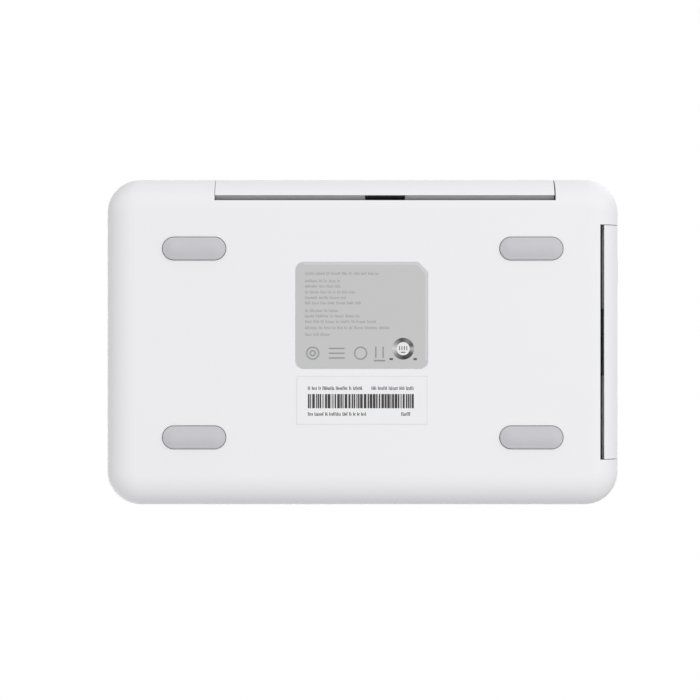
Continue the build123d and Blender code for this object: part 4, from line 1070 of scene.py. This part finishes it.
def makeCamera():
    spec = viewSpec
    data = bpy.data.cameras.new("underCamera")
    data.sensor_width = spec["sensor"]
    data.lens = spec["sensor"] * spec["distance"] / spec["widthSeen"]
    data.clip_start, data.clip_end = spec["clip"]
    camera = bpy.data.objects.new("underCamera", data)
    bpy.context.scene.collection.objects.link(camera)
    camera.location = (spec["aim"][0], spec["aim"][1], bottomFace - spec["distance"])
    camera.rotation_euler = (math.pi, 0, 0)
    bpy.context.scene.camera = camera


makeCamera()


# Floor: seen from above only, so that the object can also be looked at from below.
floorSpec = {
    "size": 12.0,
    "colour": (216, 217, 219),
    "roughness": 0.8,
    "drop": 0.05 * mm,
    "fade": (0.35, 1.9),               # from the middle out, where it turns into the white backdrop
}


def makeFloor():
    spec = floorSpec
    half = spec["size"] / 2
    data = bpy.data.meshes.new("floor")
    corners = [(x, y, -spec["drop"]) for x, y in ((-half, -half), (half, -half), (half, half), (-half, half))]
    data.from_pydata(corners, [], [(0, 1, 2, 3)])
    floor = bpy.data.objects.new("floor", data)
    bpy.context.scene.collection.objects.link(floor)
    material, tree, shader = startMaterial("paleFloor")
    setInputs(shader, Base_Color=light(*spec["colour"]), Roughness=spec["roughness"])
    link = tree.links.new
    place = addNode(tree, "ShaderNodeTexCoord", -700, 400)
    reach = addNode(tree, "ShaderNodeVectorMath", -500, 400, operation="LENGTH")
    link(place.outputs["Object"], reach.inputs[0])
    fade = addNode(tree, "ShaderNodeMapRange", -300, 400, interpolation_type="SMOOTHSTEP")
    setInputs(fade, From_Min=spec["fade"][0], From_Max=spec["fade"][1])
    link(reach.outputs["Value"], fade.inputs["Value"])
    white = addNode(tree, "ShaderNodeEmission", 0, 500)
    pale = addNode(tree, "ShaderNodeMixShader", 200, 200)
    link(fade.outputs[0], pale.inputs[0])
    link(shader.outputs[0], pale.inputs[1])
    link(white.outputs[0], pale.inputs[2])
    clear = addNode(tree, "ShaderNodeBsdfTransparent", 0, -300)
    facing = addNode(tree, "ShaderNodeNewGeometry", 0, 300)
    mix = addNode(tree, "ShaderNodeMixShader", 400, 0)
    link(facing.outputs["Backfacing"], mix.inputs[0])
    link(pale.outputs[0], mix.inputs[1])
    link(clear.outputs[0], mix.inputs[2])
    link(mix.outputs[0], tree.nodes["Material Output"].inputs["Surface"])
    data.materials.append(material)
    for ray in ("diffuse", "glossy", "transmission", "shadow", "volume_scatter"):
        setattr(floor, "visible_" + ray, False)


makeFloor()


# Plain studio light: a soft half sky from below that leans to the front right, and soft square panels.
# Mirrored says whether glossy faces show the panel.
lampSpec = {
    "overPanel": dict(size=1.6, power=13, place=(-0.1, 0.1, 1.6), aim=(0, 0, 0.04), mirrored=True),
    "underKey": dict(size=0.8, power=1.1, place=(0.55, -0.3, -0.6), aim=(0, 0, 0), mirrored=False),
    "overKey": dict(size=0.9, power=7.5, place=(0.9, -1.1, 1.2), aim=(0, 0, 0.04), mirrored=True),
    "rearFill": dict(size=0.9, power=8, place=(-0.9, 1.0, 1.4), aim=(0, 0, 0.04), mirrored=True),
}
worldSpec = {
    "ambient": 0.2,
    "under": 0.898,                    # strength of the half sky below
    "lean": (0.12, -0.32, -1.0),       # where its middle lies
    "blend": 0.15,                     # softness of its rim
    "backdrop": 1.0,
}


def makeLamps():
    for name, spec in lampSpec.items():
        data = bpy.data.lights.new(name, "AREA")
        data.shape = "SQUARE"
        data.size = spec["size"]
        data.energy = spec["power"]
        lamp = bpy.data.objects.new(name, data)
        bpy.context.scene.collection.objects.link(lamp)
        lamp.location = spec["place"]
        direction = Vector(spec["aim"]) - Vector(spec["place"])
        lamp.rotation_euler = direction.to_track_quat("-Z", "Y").to_euler()
        lamp.visible_camera = False
        lamp.visible_glossy = spec["mirrored"]


def makeWorld():
    world = bpy.data.worlds.new("paleRoom")
    bpy.context.scene.world = world
    world.use_nodes = True
    tree = world.node_tree
    link = tree.links.new
    paths = addNode(tree, "ShaderNodeLightPath", -900, 200)
    seen = addNode(tree, "ShaderNodeMath", -600, 200, operation="MAXIMUM")
    mirrored = addNode(tree, "ShaderNodeMath", -400, 200, operation="MAXIMUM")
    link(paths.outputs["Is Camera Ray"], seen.inputs[0])
    link(paths.outputs["Is Glossy Ray"], seen.inputs[1])
    link(seen.outputs[0], mirrored.inputs[0])
    link(paths.outputs["Is Transmission Ray"], mirrored.inputs[1])
    sky = addNode(tree, "ShaderNodeTexCoord", -900, -200)
    share = addNode(tree, "ShaderNodeVectorMath", -650, -200, operation="DOT_PRODUCT")
    link(sky.outputs["Generated"], share.inputs[0])
    share.inputs[1].default_value = Vector(worldSpec["lean"]).normalized()
    below = addNode(tree, "ShaderNodeMapRange", -400, -200, interpolation_type="SMOOTHSTEP")
    link(share.outputs["Value"], below.inputs["Value"])
    setInputs(below, From_Min=-worldSpec["blend"], From_Max=worldSpec["blend"])
    setInputs(below, To_Min=worldSpec["ambient"], To_Max=worldSpec["under"])
    strength = addNode(tree, "ShaderNodeMapRange", -200, 200)
    link(mirrored.outputs[0], strength.inputs["Value"])
    link(below.outputs[0], strength.inputs["To Min"])
    setInputs(strength, To_Max=worldSpec["backdrop"])
    background = tree.nodes["Background"]
    background.inputs["Color"].default_value = (1, 1, 1, 1)
    link(strength.outputs[0], background.inputs["Strength"])


makeLamps()
makeWorld()
bpy.context.scene.view_settings.view_transform = "Standard"
print("camera, floor and light set")
